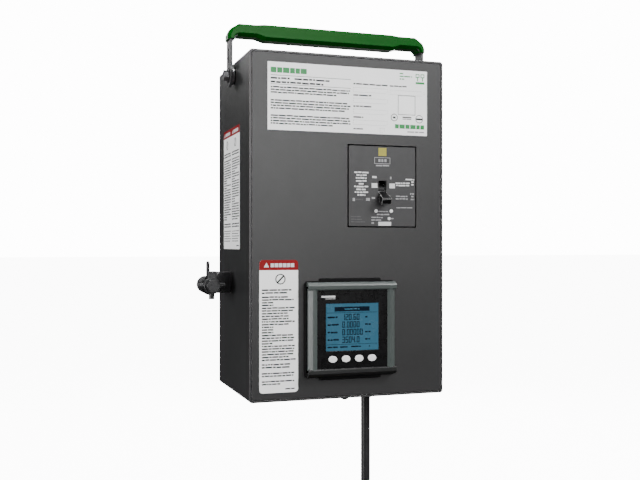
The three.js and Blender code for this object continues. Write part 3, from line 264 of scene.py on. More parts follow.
INK = {
    "paper": surface(
        "label_paper", (0.93, 0.93, 0.93), 0.42, cloud=0.03, cloud_scale=30, grain=1600,
        grain_depth=0.006, coat=0.15,
    ),
    "black": surface(
        "ink_black", (0.006, 0.006, 0.007), 0.5, cloud=0.25, cloud_scale=300, grain=2000,
        grain_depth=0.004,
    ),
    "grey": surface(
        "ink_grey", (0.06, 0.06, 0.063), 0.5, cloud=0.2, cloud_scale=300, grain=2000, grain_depth=0.004,
    ),
    "pale": surface(
        "ink_pale", (0.26, 0.26, 0.265), 0.5, cloud=0.15, cloud_scale=300, grain=2000, grain_depth=0.004,
    ),
    "green": surface(
        "ink_green", (0.003, 0.2, 0.04), 0.45, cloud=0.12, cloud_scale=200, grain=2000, grain_depth=0.004,
    ),
    "red": surface(
        "ink_red", (0.2, 0.0008, 0.002), 0.5, cloud=0.08, cloud_scale=120, grain=1800, grain_depth=0.005,
        level=0.2,
    ),
    "white": surface(
        "ink_white", (0.6, 0.6, 0.6), 0.45, cloud=0.05, cloud_scale=200, grain=2000, grain_depth=0.004,
    ),
    "amber": surface(
        "ink_amber", (0.3, 0.265, 0.02), 0.45, cloud=0.1, cloud_scale=200, grain=2000, grain_depth=0.004,
    ),
    "navy": surface(
        "ink_navy", (0.0012, 0.006, 0.014), 0.5, level=0.05, cloud=0.2, cloud_scale=200, grain=2500,
        grain_depth=0.003,
    ),
    # Near-black for the painted shade in the gap around the breaker's face.
    "dark": surface(
        "painted_gap_shade_ink", (0.006, 0.006, 0.007), 0.6, cloud=0.2, cloud_scale=80, grain=1500, grain_depth=0.02,
    ),
}

# Looks of single pieces, beside the slots' finishes
OWN_LOOKS = {
    # The box's rounded edges in a pale gloss: a painted highlight.
    "box": surface(
        "box_edge_painted_highlight", (0.62, 0.62, 0.625), 0.3, cloud=0.1, cloud_scale=60, grain=1400,
        grain_depth=0.006, coat=0.3,
    ),
    # A near-black copy of the rails' grey for the rail that faces down: painted shade.
    "meter": surface(
        "meter_rail_painted_shade_finish", (0.006, 0.0065, 0.0065), 0.4, cloud=0.06, cloud_scale=40, grain=1900,
        grain_depth=0.018, wear_and_highlight_colour=(0.1, 0.1, 0.1), wear_and_highlight=0.25, wear_and_highlight_radius=0.4, level=0.3,
    ),
    # The toggle's black moulding; its pale edges are a painted highlight.
    "toggle": surface(
        "toggle_black_painted_highlight_finish", (0.0035, 0.0035, 0.0037), 0.36, cloud=0.15, cloud_scale=90, grain=1900,
        grain_depth=0.012, wear_and_highlight_colour=(0.6, 0.6, 0.6), wear_and_highlight=0.85, wear_and_highlight_radius=0.7, wear_and_highlight_gaps=0.2, level=0.12,
    ),
}

for node_name, node_object in NODES.items():
    finish = FINISH[SLOT_OF[node_name]]
    node_object.data.materials.clear()
    node_object.data.materials.append(finish)

# ---------------------------------------------------------------- meshes

LARGE_FACE = 60 * MM * MM  # plane faces above this area are shaded flat


def settle(name, mesh, materials, body, replaced=(), crease=38):
    """Links a mesh as a piece that rides on a body, smooth except past the crease angle."""
    piece = bpy.data.objects.new(name, mesh)
    bpy.context.scene.collection.objects.link(piece)
    for material in materials:
        mesh.materials.append(material)
    mesh.shade_smooth()
    mesh.set_sharp_from_angle(angle=math.radians(crease))
    for polygon in mesh.polygons:
        if polygon.area > LARGE_FACE:
            polygon.use_smooth = False
    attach(piece, body)
    if replaced:
        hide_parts(*replaced)
    return piece


def from_bmesh(name, made, materials, body, replaced=(), crease=38, weighted=True):
    """A piece from a bmesh in millimetres."""
    bmesh.ops.recalc_face_normals(made, faces=made.faces[:])
    bmesh.ops.scale(made, vec=(MM, MM, MM), verts=made.verts[:])
    mesh = bpy.data.meshes.new(name)
    made.to_mesh(mesh)
    made.free()
    piece = settle(name, mesh, materials, body, replaced, crease)
    if weighted:
        even = piece.modifiers.new("even_normals", "WEIGHTED_NORMAL")
        even.keep_sharp = True
        even.weight = 100
    return piece


def soften(made, width, segments=2, angle=28.0, chosen=None, material=-1):
    """Rounds the edges that turn by more than the angle; the rounds may have a material of their own."""
    edges = [e for e in made.edges if len(e.link_faces) == 2 and e.calc_face_angle(0) > math.radians(angle)]
    if chosen:
        edges = [e for e in edges if chosen(e)]
    if edges:
        bmesh.ops.bevel(made, geom=edges, offset=width, segments=segments, profile=0.5, affect="EDGES",
                        clamp_overlap=True, material=material)


def cad_shape(node):
    """A CAD node's solid as a bmesh in millimetres, with its flat faces whole."""
    made = bmesh.new()
    made.from_mesh(NODES[node].data)
    bmesh.ops.scale(made, vec=(1 / MM,) * 3, verts=made.verts[:])
    bmesh.ops.remove_doubles(made, verts=made.verts[:], dist=0.001)
    bmesh.ops.dissolve_limit(made, angle_limit=math.radians(0.6), verts=made.verts[:], edges=made.edges[:])
    return made


def cad_box(node):
    """A CAD node's lowest and highest corner, in millimetres."""
    corners = [v.co / MM for v in NODES[node].data.vertices]
    return [[end(c[axis] for c in corners) for axis in range(3)] for end in (min, max)]


def refined(node, width, segments=2, angle=28.0, finish=None, crease=38, edge=None):
    """The CAD node's own shape with rounded edges, in its place."""
    made = cad_shape(node)
    soften(made, width, segments, angle, material=1 if edge else -1)
    slot = SLOT_OF[node]
    materials = [finish or FINISH[slot]] + ([edge] if edge else [])
    return from_bmesh(node + "_shape", made, materials, BODY_OF[node], [node], crease)


def prism(made, outline, low, high, axes="xyz"):
    """A closed prism over an outline in the first two axes, between two places on the third."""
    order = [axes.index(a) for a in "xyz"]

    def corner(u, v, w):
        values = (u, v, w)
        return Vector([values[i] for i in order])

    rings = [[made.verts.new(corner(u, v, w)) for u, v in outline] for w in (low, high)]
    for ring in rings:
        made.faces.new(ring)
    for i in range(len(outline)):
        j = (i + 1) % len(outline)
        made.faces.new([rings[0][i], rings[0][j], rings[1][j], rings[1][i]])


def frame_prism(made, outer, inner, low, high, axes):
    """A closed frame between two outlines that have the same number of points."""
    order = [axes.index(a) for a in "xyz"]
    rings = []
    for outline, w in ((outer, low), (outer, high), (inner, high), (inner, low)):
        rings.append([made.verts.new(Vector([(u, v, w)[i] for i in order])) for u, v in outline])
    for first, second in zip(rings, rings[1:] + rings[:1]):
        for i in range(len(first)):
            j = (i + 1) % len(first)
            made.faces.new([first[i], first[j], second[j], second[i]])


def rounded(width, height, radius, steps=6, centre=(0, 0)):
    radius = min(radius, width / 2 - 1e-3, height / 2 - 1e-3)
    points = []
    corners = ((1, 1, 0), (-1, 1, 90), (-1, -1, 180), (1, -1, 270))
    for sx, sy, start in corners:
        for i in range(steps + 1):
            a = math.radians(start + 90 * i / steps)
            x = centre[0] + sx * (width / 2 - radius) + radius * math.cos(a)
            points.append((x, centre[1] + sy * (height / 2 - radius) + radius * math.sin(a)))
    return points


def circle(radius, steps=32, centre=(0, 0), turn=0.0):
    angles = [2 * math.pi * i / steps + turn for i in range(steps)]
    return [(centre[0] + radius * math.cos(a), centre[1] + radius * math.sin(a)) for a in angles]


def lathe(made, profile, centre, axis, steps):
    """Turns a closed profile of (radius, along) about an axis through the centre."""
    rings = []
    for radius, along in profile:
        ring = []
        for i in range(steps):
            a = 2 * math.pi * i / steps
            u, v = radius * math.cos(a), radius * math.sin(a)
            place = {"z": (u, v, along), "y": (u, along, v), "x": (along, u, v)}[axis]
            ring.append(made.verts.new(Vector(centre) + Vector(place)))
        rings.append(ring)
    count = len(profile)
    for k in range(count):
        first, second = rings[k], rings[(k + 1) % count]
        for i in range(steps):
            j = (i + 1) % steps
            made.faces.new([first[i], first[j], second[j], second[i]])
    bmesh.ops.remove_doubles(made, verts=made.verts[:], dist=0.0005)


# Heights above a face, low and high: a label's paper, the ink on it and the ink over a band,
# and the ink that is printed straight on the breaker's face and on the meter's screen
PAPER = (0.0, 0.13)
ON_PAPER = (0.1, 0.17)
ON_BAND = (0.16, 0.22)
ON_FACE = (0.0, 0.06)
ON_SCREEN = (0.0, 0.05)


class Print:
    """Thin closed slabs of ink on one flat face; u runs right and v runs down from its corner."""

    def __init__(self, corner, right, down, normal):
        self.corner, self.right = Vector(corner), Vector(right)
        self.down, self.normal = Vector(down), Vector(normal)
        self.made = bmesh.new()
        self.inks = []

    def slab(self, outline, ink, layer=ON_PAPER):
        if ink not in self.inks:
            self.inks.append(ink)
        rings = []
        for height in layer:
            ring = [self.corner + self.right * u + self.down * v + self.normal * height for u, v in outline]
            rings.append([self.made.verts.new(p) for p in ring])
        count = len(outline)
        faces = [self.made.faces.new(rings[0]), self.made.faces.new(rings[1])]
        for i in range(count):
            j = (i + 1) % count
            faces.append(self.made.faces.new([rings[0][i], rings[0][j], rings[1][j], rings[1][i]]))
        for face in faces:
            face.material_index = self.inks.index(ink)

    def bar(self, u, v, width, height, ink="black", layer=ON_PAPER):
        self.slab([(u, v), (u + width, v), (u + width, v + height), (u, v + height)], ink, layer)

    def outline(self, u, v, width, height, line, ink, layer=ON_PAPER):
        self.bar(u, v, width, line, ink, layer)
        self.bar(u, v + height - line, width, line, ink, layer)
        self.bar(u, v + line, line, height - 2 * line, ink, layer)
        self.bar(u + width - line, v + line, line, height - 2 * line, ink, layer)

    def dashes(self, u, v, width, height, line, ink):
        """A dashed rectangle."""
        step, dash = 2.2, 1.3
        for k in range(int(width / step)):
            self.bar(u + k * step, v, dash, line, ink)
            self.bar(u + k * step, v + height - line, dash, line, ink)
        for k in range(int(height / step)):
            self.bar(u, v + k * step, line, dash, ink)
            self.bar(u + width - line, v + k * step, line, dash, ink)

    def words(self, draw, u, v, width, height, ink="black", letter=1.0, layer=ON_PAPER):
        """A line of plain word-long bars."""
        at = u
        while at < u + width - letter:
            long = min(draw.randint(2, 9) * letter, u + width - at)
            self.bar(at, v + height * draw.choice((0, 0.1)), long, height * 0.82, ink, layer)
            at += long + 0.75 * letter

    def ring(self, u, v, radius, line, ink):
        steps = 28
        for i in range(steps):
            a, b = (2 * math.pi * k / steps for k in (i, i + 1))
            quad = [(radius, a), (radius, b), (radius - line, b), (radius - line, a)]
            self.slab([(u + r * math.cos(t), v + r * math.sin(t)) for r, t in quad], ink)

    def done(self, name, body):
        materials = [INK[ink] if ink in INK else FINISH[ink] for ink in self.inks]
        return from_bmesh(name, self.made, materials, body, weighted=False, crease=20)


# ---------------------------------------------------------------- drop cord

CORD = 10.8
GLAND_AXIS = (60.5, -36.0, BOTTOM_Z)
COIL_CENTRE = (-39.0, -15.0, -191.0)
COIL_RADIUS = 55.0
COIL_TURNS = 2
COIL_POINTS = 16
COIL_PITCH = 12.0
CORD_DOWN = [(0, 0, 5.5), (0, 0, -10), (0, 0, -25), (0, 0, -40), (0, 0, -55), (0, 0, -70), (0, 0, -85),
             (0, 0, -100), (0, 0, -113), (0, 0, -125), (0.65, -0.1, -133), (2.4, -0.4, -141),
             (4.8, -0.9, -149), (7.6, -1.4, -157), (10.5, -2.0, -165), (13.1, -2.5, -173),
             (15.0, -2.8, -181)]
CORD_TAIL = [(16, -27, -203), (16, -27, -215), (16, -27, -227),
             (16, -27, -239), (16, -27, -251), (16, -27, -261)]


def cord_route():
    """The cord's points: down from the gland, through the coil's turns and down again."""
    points = list(CORD_DOWN)
    first_turn = COIL_CENTRE[1] + COIL_PITCH * COIL_TURNS / 2
    for i in range(COIL_TURNS * COIL_POINTS + 1):
        a = 2 * math.pi * i / COIL_POINTS
        x = COIL_CENTRE[0] + COIL_RADIUS * math.cos(a)
        z = COIL_CENTRE[2] - COIL_RADIUS * math.sin(a)
        points.append((x, first_turn - COIL_PITCH * i / COIL_POINTS, z))
    return [Vector(GLAND_AXIS) + Vector(p) for p in points + CORD_TAIL]


route = cord_route()
curve = bpy.data.curves.new("cord", "CURVE")
curve.dimensions = "3D"
curve.resolution_u = 6
curve.bevel_depth = CORD / 2 * MM
curve.bevel_resolution = 6
curve.use_fill_caps = True
spline = curve.splines.new("BEZIER")
spline.bezier_points.add(len(route) - 1)
for point, place in zip(spline.bezier_points, route):
    point.co = place * MM
    point.handle_left_type = point.handle_right_type = "AUTO"
cord = bpy.data.objects.new("drop_cord", curve)
curve.materials.append(FINISH["cord_jacket"])
bpy.context.scene.collection.objects.link(cord)
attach(cord, "box")
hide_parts("power_cord", "cord_coil", "cord_tail")

# The tapered strain relief, with ribs, under the gland's hexagon.
made = bmesh.new()
relief = [(5.9, -20.0), (7.2, -20.0), (7.4, -19.4)]
for k in range(4):
    low = -19.0 + 2.3 * k
    radius = 7.6 + 0.62 * k
    relief += [(radius, low), (radius + 0.25, low + 0.5), (radius + 0.3, low + 1.2),
               (radius - 0.45, low + 1.5), (radius - 0.35, low + 2.1)]
relief += [(10.2, -9.6), (10.5, -9.2), (10.5, -6.4), (10.1, -5.9), (5.9, -5.9)]
lathe(made, relief, GLAND_AXIS, "z", 40)
from_bmesh("gland_nut_shape", made, [FINISH["black_moulding"]], "box", ["gland_nut"])
refined("gland_body", 0.5, 2)

# The strap that ties the coil's turns together.
refined("coil_tie", 0.6, 2, finish=FINISH["gasket_black"])

# Connector: the clamp with its four screws, the ribbed shell and the face.
refined("connector_clamp", 0.8, 2)
connector_x, connector_y = GLAND_AXIS[0] + CORD_TAIL[0][0], GLAND_AXIS[1] + CORD_TAIL[0][1]
made = bmesh.new()
shell_profile = [(0, -502.8), (20.2, -502.8), (21.0, -502.0), (21.0, -498.5), (20.2, -497.9), (20.2, -496.3),
                 (20.8, -495.7), (20.8, -470.6), (19.9, -467.2), (16.6, -456.2), (15.6, -454.8), (0, -454.8)]
lathe(made, shell_profile, (connector_x, connector_y, 0), "z", 60)
for i in range(10):
    a = 2 * math.pi * i / 10
    centre = (connector_x + 20.35 * math.cos(a), connector_y + 20.35 * math.sin(a))
    prism(made, circle(0.9, 10, centre), -494.5, -471.5)
from_bmesh("connector_shell_shape", made, [FINISH["connector_yellow"]], "box",
           ["connector_shell"], crease=30)
refined("connector_face", 0.4, 2)
made = bmesh.new()
for side in (-1, 1):
    for along in (-436.0, -448.0):
        centre = (connector_x + side * 5.0, connector_y, along)
        lathe(made, [(0, -12.9), (1.9, -12.9), (2.1, -12.6), (2.1, -11.0), (0, -11.0)], centre, "y", 20)
from_bmesh("connector_clamp_screws", made, [FINISH["zinc_steel"]], "box")
# The clamp tapers, so the upper pair of screws stands in lugs.
made = bmesh.new()
for side in (-1, 1):
    lug = (connector_x + side * 5.0, connector_y - 5.0)
    prism(made, rounded(5.2, 14.5, 1.2, 4, lug), -450.5, -433.2)
soften(made, 0.6, 2)
from_bmesh("connector_clamp_lugs", made, [FINISH["black_moulding"]], "box")

# ---------------------------------------------------------------- box and cover

# The enclosure's rounded edges carry the pale painted highlight.
refined("enclosure_body", 0.9, 4, edge=OWN_LOOKS["box"])
refined("front_cover", 0.7, 3)
refined("cover_screw", 0.3, 2)

# Knockouts in the bottom wall.
made = bmesh.new()
for x, y, radius in ((-62.0, -60.0, 14.0), (-10.0, -60.0, 11.0)):
    for outer in (radius, radius * 0.68):
        lathe(made, [(outer, BOTTOM_Z + 0.2), (outer, BOTTOM_Z - 0.25), (outer - 0.9, BOTTOM_Z - 0.25),
                     (outer - 0.9, BOTTOM_Z + 0.2)], (x, y, 0), "z", 48)
from_bmesh("bottom_knockouts", made, [FINISH["box_paint"]], "box")

# ---------------------------------------------------------------- rear plug-on base

refined("stab_base", 0.5, 2)
for i in range(1, 5):
    refined(f"stab_jaw_{i}", 0.2, 1)

# ---------------------------------------------------------------- handle

refined("handle_grip", 1.1, 3, angle=14)
refined("handle_bail", 0.45, 2)
for side in ("left", "right"):
    refined(f"handle_bolt_{side}", 0.45, 2)
    refined(f"handle_spacer_{side}", 0.4, 2)

# ---------------------------------------------------------------- side clamp

refined("clamp_block", 0.7, 2)
refined("clamp_bolt", 0.9, 2, angle=35)
refined("clamp_knob", 0.9, 3, angle=35)
refined("clamp_dog", 0.5, 2)
refined("clamp_lock_pin", 0.3, 2, angle=50)

# The disc behind the knob has a knurled rim.
made = bmesh.new()
disc_low, disc_high = cad_box("clamp_disc")
disc_x, disc_z = (disc_low[0] + disc_high[0]) / 2, (disc_low[2] + disc_high[2]) / 2
disc_radius = (disc_high[0] - disc_low[0]) / 2
KNURL_DEPTH, KNURL_TEETH = 0.6, 30
knurl_low = disc_radius - KNURL_DEPTH
knurl = ((0.0, knurl_low), (0.22, disc_radius), (0.62, disc_radius), (0.84, knurl_low))
outline = []
for i in range(KNURL_TEETH):
    for part, radius in knurl:
        a = 2 * math.pi * (i + part) / KNURL_TEETH
        outline.append((disc_x + radius * math.cos(a), disc_z + radius * math.sin(a)))
prism(made, outline, disc_low[1], disc_high[1], "xzy")
soften(made, 0.25, 1, 60, lambda e: abs(e.verts[0].co.y - e.verts[1].co.y) < 0.01)
from_bmesh("clamp_disc_shape", made, [FINISH["black_moulding"]], "clamp_shaft", ["clamp_disc"],
           crease=25)

# ---------------------------------------------------------------- breaker

BREAKER = (36.7, 42.4)  # centre of the face, X and Z
FACE_Y = -146.3
refined("breaker_case", 0.45, 2)
# The toggle's pale edges are a painted highlight.
refined("breaker_toggle", 0.4, 2, angle=30, finish=OWN_LOOKS["toggle"])
refined("trip_button", 0.35, 2, angle=40)

draw = random.Random(11)
FACE_LEFT, FACE_TOP = 37.5, 41.8  # from the face's centre to the print's corner
face = Print((BREAKER[0] - FACE_LEFT, FACE_Y, BREAKER[1] + FACE_TOP), *ON_FRONT)


def at(x, z):
    """A place from the face's centre as the print's u and v."""
    return x + FACE_LEFT, FACE_TOP - z


def face_bar(x0, x1, z0, z1, ink="white"):
    u, v = at(x0, z1)
    face.bar(u, v, x1 - x0, z1 - z0, ink, ON_FACE)


def face_words(x0, x1, z, height, ink="white", letter=0.8):
    u, v = at(x0, z)
    face.words(draw, u, v, x1 - x0, height, ink, letter, ON_FACE)


face_bar(-4.5, 4.5, 31.9, 40.4, "amber")
u, v = at(-9.2, 30.4)
face.outline(u, v, 18.0, 6.8, 0.55, "pale", ON_FACE)
face_bar(-4.6, -2.2, 25.6, 28.6, "pale")
face_bar(-1.2, 1.0, 25.6, 28.6, "pale")
face_bar(2.2, 4.6, 25.6, 28.6, "pale")
face_words(-7.4, 7.6, 22.6, 1.7, "pale")
for k, (x0, x1) in enumerate(((-31.5, -15.8), (-29.2, -17.8), (-29.8, -17.6), (-29.6, -17.2), (-26.6, -20.6),
                              (-31.6, -16.0), (-29.4, -18.6), (-31.0, -16.2), (-28.0, -19.2))):
    face_words(x0, x1, 15.0 - 2.95 * k, 1.9, "white", 0.9)
face_words(-33.4, -30.8, -12.2, 4.0, "pale", 0.9)
face_words(-29.6, -22.0, -13.4, 1.6, "grey", 0.7)
face_words(-18.4, -14.2, -12.4, 3.6, "pale", 0.8)
face_bar(-11.6, -6.6, 8.6, 10.6)
face_bar(-12.2, -5.9, -1.7, 3.2)
face_bar(7.8, 14.2, -1.7, 3.2)
face_bar(8.6, 10.2, 7.6, 10.4, "pale")
face_words(15.0, 31.0, 4.6, 1.7, "white", 0.9)
face_words(15.6, 31.4, 2.2, 1.7, "white", 0.9)
face_words(26.4, 36.2, 8.6, 1.7, "white", 0.9)
face_words(33.0, 35.6, 6.0, 1.8, "white", 0.8)
face_words(33.0, 35.6, 3.4, 1.8, "white", 0.8)
face_words(15.4, 28.6, -9.4, 1.6, "pale", 0.9)
face_words(15.0, 28.8, -12.0, 1.6, "pale", 0.9)
face_words(31.6, 36.0, -6.4, 1.8, "pale", 0.8)
face_words(33.0, 36.2, -9.4, 1.8, "pale", 0.8)
face_words(32.4, 36.2, -12.4, 1.8, "pale", 0.8)
face_bar(-12.2, -8.4, -13.2, -11.4, "pale")
face_words(15.6, 35.0, -21.6, 1.2, "pale", 0.7)
for x, z, radius in ((-7.2, -25.9, 1.9), (7.6, -33.7, 1.7)):
    u, v = at(x, z)
    face.slab(circle(radius, 20, (u, v)), "white", (0.0, 0.08))
face_words(-4.6, 6.2, -25.8, 1.2, "pale", 0.6)
face_words(-6.4, 7.6, -28.8, 1.6, "pale", 0.7)
face_words(-12.6, 0.4, -32.0, 1.4, "pale", 0.7)
face_words(-12.6, -1.0, -34.6, 1.4, "pale", 0.7)
face_words(-12.4, -8.6, -37.6, 2.0, "pale", 0.7)
face_words(9.8, 12.6, -33.0, 1.6, "pale", 0.7)
for k in range(3):
    face_words(-35.4, -35.4 + (11.0, 13.0, 15.6)[k], -31.4 - 2.7 * k, 1.4, "grey", 0.7)
face_bar(-4.6, 9.8, -41.2, -37.2)
face.done("breaker_print", "box")

# Painted shade: the shade in the gap around the breaker's face is a dark frame, so that it leaves the
# lever's pocket free.
made = bmesh.new()
GAP_OUTER = rounded(83.6, 91.6, 1.0, 3, BREAKER)
GAP_INNER = rounded(75.6, 84.2, 1.0, 3, BREAKER)
GAP_FRONT, GAP_REAR = -134.4, -134.15
frame_prism(made, GAP_OUTER, GAP_INNER, GAP_FRONT, GAP_REAR, "xzy")
from_bmesh("breaker_gap_shadow", made, [INK["dark"]], "box")

# ---------------------------------------------------------------- panel meter

METER_Z = -105.2
BEZEL_FRONT = -158.0
BEZEL_REAR = -150.2
BEZEL_HALF = 48.0
SIDE_RAIL_HALF = 41.5
ROUNDED_FROM = -153.0  # a rail's end is rounded in front of this

# Side rails: an outer slope, a flat and a slope down to the panel.
made = bmesh.new()
for side in (-1, 1):
    outline = [(side * 47.4, BEZEL_REAR), (side * 47.4, -153.6), (side * 43.6, -157.3),
               (side * 41.2, -157.5), (side * 38.6, -156.2), (side * 38.4, -155.3),
               (side * 38.4, -155.2), (side * 43.9, -155.2), (side * 43.9, BEZEL_REAR)]
    prism(made, outline, METER_Z - SIDE_RAIL_HALF, METER_Z + SIDE_RAIL_HALF, "xyz")
soften(made, 0.35, 2, 22)
from_bmesh("meter_side_rails", made, [FINISH["meter_grey"]], "box", ["meter_bezel"], crease=30)

# The top rail in the rails' grey, the bottom rail in the darker copy: painted shade.
for side, rail_name, rail_finish in ((1, "meter_top_rail", FINISH["meter_grey"]),
                                     (-1, "meter_bottom_rail", OWN_LOOKS["meter"])):
    made = bmesh.new()
    section = [(BEZEL_REAR, BEZEL_HALF), (-154.6, BEZEL_HALF), (-157.4, 46.0), (BEZEL_FRONT, 44.6),
               (-157.8, 41.2), (-156.6, 40.2), (-155.3, 40.0), (-155.2, 43.9), (BEZEL_REAR, 43.9)]
    outline = [(y, METER_Z + side * out) for y, out in section]
    prism(made, outline, -BEZEL_HALF, BEZEL_HALF, "yzx")
    soften(made, 1.3, 3, 60, lambda e: all(abs(abs(v.co.x) - BEZEL_HALF) < 0.01 for v in e.verts) and
           all(v.co.y < ROUNDED_FROM for v in e.verts))
    soften(made, 0.3, 2, 24)
    from_bmesh(rail_name, made, [rail_finish], "box", crease=30)

refined("meter_gasket", 0.5, 2)
refined("meter_panel", 0.25, 2)
refined("meter_screen", 0.15, 1)
for i in range(1, 5):
    refined(f"meter_button_{i}", 0.75, 3, angle=40)

PANEL_Y = -154.9
SCREEN_Y = -154.7
panel = Print((-38.4, PANEL_Y, METER_Z + 40.0), *ON_FRONT)
panel.bar(4.6, 5.6, 15.0, 1.9, "white", ON_FACE)
panel.bar(9.0, 8.3, 10.6, 0.9, "pale", ON_FACE)
panel.done("meter_panel_print", "box")

SEGMENTS = {"0": "abcdef", "1": "bc", "2": "abged", "3": "abgcd", "4": "fgbc", "5": "afgcd", "6": "afgedc",
            "7": "abc", "8": "abcdefg", "9": "abcdfg"}
screen = Print((-28.7, SCREEN_Y, METER_Z + 26.2), *ON_FRONT)


def digit(figure, u, v, width=2.9, height=6.3, line=0.8):
    half = height / 2
    bars = {"a": (0, 0, width, line), "d": (0, height - line, width, line),
            "g": (0, half - line / 2, width, line), "f": (0, 0, line, half), "e": (0, half, line, half),
            "b": (width - line, 0, line, half), "c": (width - line, half, line, half)}
    for k, name in enumerate(sorted(SEGMENTS[figure])):
        x, y, w, h = bars[name]
        screen.bar(u + x, v + y, w, h, "navy", (0.0, 0.05 + 0.002 * k))


screen.bar(9.2, 3.4, 38.2, 4.6, "navy", ON_SCREEN)
screen.words(draw, 20.0, 5.0, 17.0, 1.7, "screen_glass", 1.0, (0.04, 0.08))
screen.bar(0.8, 9.2, 55.6, 0.35, "navy", ON_SCREEN)
screen.bar(0.8, 41.6, 55.6, 0.35, "navy", ON_SCREEN)
for row, figures in enumerate(("120.60", "0.0000", "0.00000", "3504.0")):
    v = 10.8 + 7.7 * row
    screen.words(draw, 1.8, v + 2.2, (12.0, 12.4, 10.6, 12.0)[row], 1.9, "navy", 1.1, ON_SCREEN)
    u = 17.6
    for figure in figures:
        if figure == ".":
            screen.bar(u, v + 5.4, 0.7, 0.7, "navy", ON_SCREEN)
            u += 1.4
        else:
            digit(figure, u, v)
            u += 3.6
    screen.words(draw, 42.6, v + 2.4, (2.6, 6.2, 6.0, 5.6)[row], 1.8, "navy", 1.0, ON_SCREEN)
for u, width in ((1.6, 11.0), (15.2, 9.6), (27.4, 10.4)):
    screen.words(draw, u, 43.6, width, 1.7, "navy", 0.9, ON_SCREEN)
screen.slab(circle(1.1, 3, (47.4, 44.4), -math.pi / 2), "navy", ON_SCREEN)
screen.done("meter_screen_print", "box")

# ---------------------------------------------------------------- printed labels


def label(name, corner, right, down, normal, width, height, radius, paint):
    """A label's paper with its rounded corners, then its print."""
    sheet = Print(corner, right, down, normal)
    sheet.slab(rounded(width, height, radius, 6, (width / 2, height / 2)), "paper", PAPER)
    paint(sheet, width)
    return sheet.done(name, "box")


def data_label(sheet, _width):
    """Form label: green title bars, ruled paragraphs, form boxes and small round marks."""
    draw = random.Random(5)
    title = ((3.2, 6.0), (9.9, 5.4), (16.0, 6.8), (23.5, 5.2), (29.4, 4.6), (34.7, 6.6))
    for u, wide in title:
        sheet.bar(u, 5.4, wide, 5.4, "green")
    sheet.bar(3.2, 13.2, 86.0, 0.45)
    sheet.words(draw, 3.2, 15.4, 20.0, 2.0, "black", 1.15)
    sheet.words(draw, 28.2, 15.4, 38.0, 2.0, "black", 1.15)
    sheet.words(draw, 3.2, 19.4, 56.0, 2.1, "black", 1.2)
    sheet.bar(3.2, 22.3, 86.0, 0.45)
    blocks = ((24.6, (85.0, 84.0, 70.0)), (37.8, (82.0, 85.5, 84.0, 80.5)), (53.2, (85.5, 86.0, 85.5, 66.0)))
    for start, widths in blocks:
        for k, wide in enumerate(widths):
            sheet.words(draw, 3.2, start + 2.7 * k, wide, 1.7, "black", 0.85)
    for v, wide in ((16.6, 39.0), (28.2, 20.0), (39.8, 20.0), (51.0, 11.0)):
        sheet.words(draw, 92.0, v, wide, 1.7, "black", 1.1)
    for v in (21.0, 32.0, 43.4, 54.8):
        sheet.dashes(92.0, v, 38.6, 4.9, 0.3, "pale")
    sheet.words(draw, 92.0, 63.4, 12.0, 1.5, "grey", 0.9)
    sheet.dashes(121.6, 62.2, 5.2, 4.8, 0.3, "pale")
    sheet.words(draw, 133.0, 16.6, 20.0, 1.6, "black", 1.0)
    sheet.dashes(133.0, 21.6, 39.5, 4.9, 0.3, "pale")
    sheet.outline(142.2, 26.6, 20.0, 20.6, 0.55, "grey")
    sheet.ring(138.0, 50.4, 3.9, 0.7, "black")
    sheet.bar(136.4, 49.4, 3.2, 2.0, "black")
    sheet.words(draw, 147.4, 49.0, 10.4, 1.6, "black", 1.4)
    sheet.words(draw, 147.4, 51.2, 10.4, 1.0, "grey", 0.8)
    sheet.ring(166.8, 51.0, 4.3, 0.6, "black")
    sheet.bar(163.2, 50.2, 7.4, 1.9, "black")
    for u, wide in ((138.8, 4.4), (143.9, 6.2), (150.8, 4.8), (156.3, 6.4), (163.4, 4.0), (168.1, 4.4)):
        sheet.bar(u, 57.4, wide, 4.4, "green")
    sheet.words(draw, 153.0, 64.2, 19.4, 1.6, "pale", 1.0)
    for k, wide in enumerate((4.0, 14.4, 5.2)):
        sheet.words(draw, 144.2, 3.0 + 2.9 * k, wide, 1.4, "green", 0.9)
    for u in (162.6, 168.4):
        sheet.outline(u, 3.0, 4.4, 4.0, 0.8, "green")
        sheet.bar(u + 1.7, 7.0, 1.1, 3.6, "green")
    sheet.bar(162.6, 11.6, 10.2, 2.2, "green")


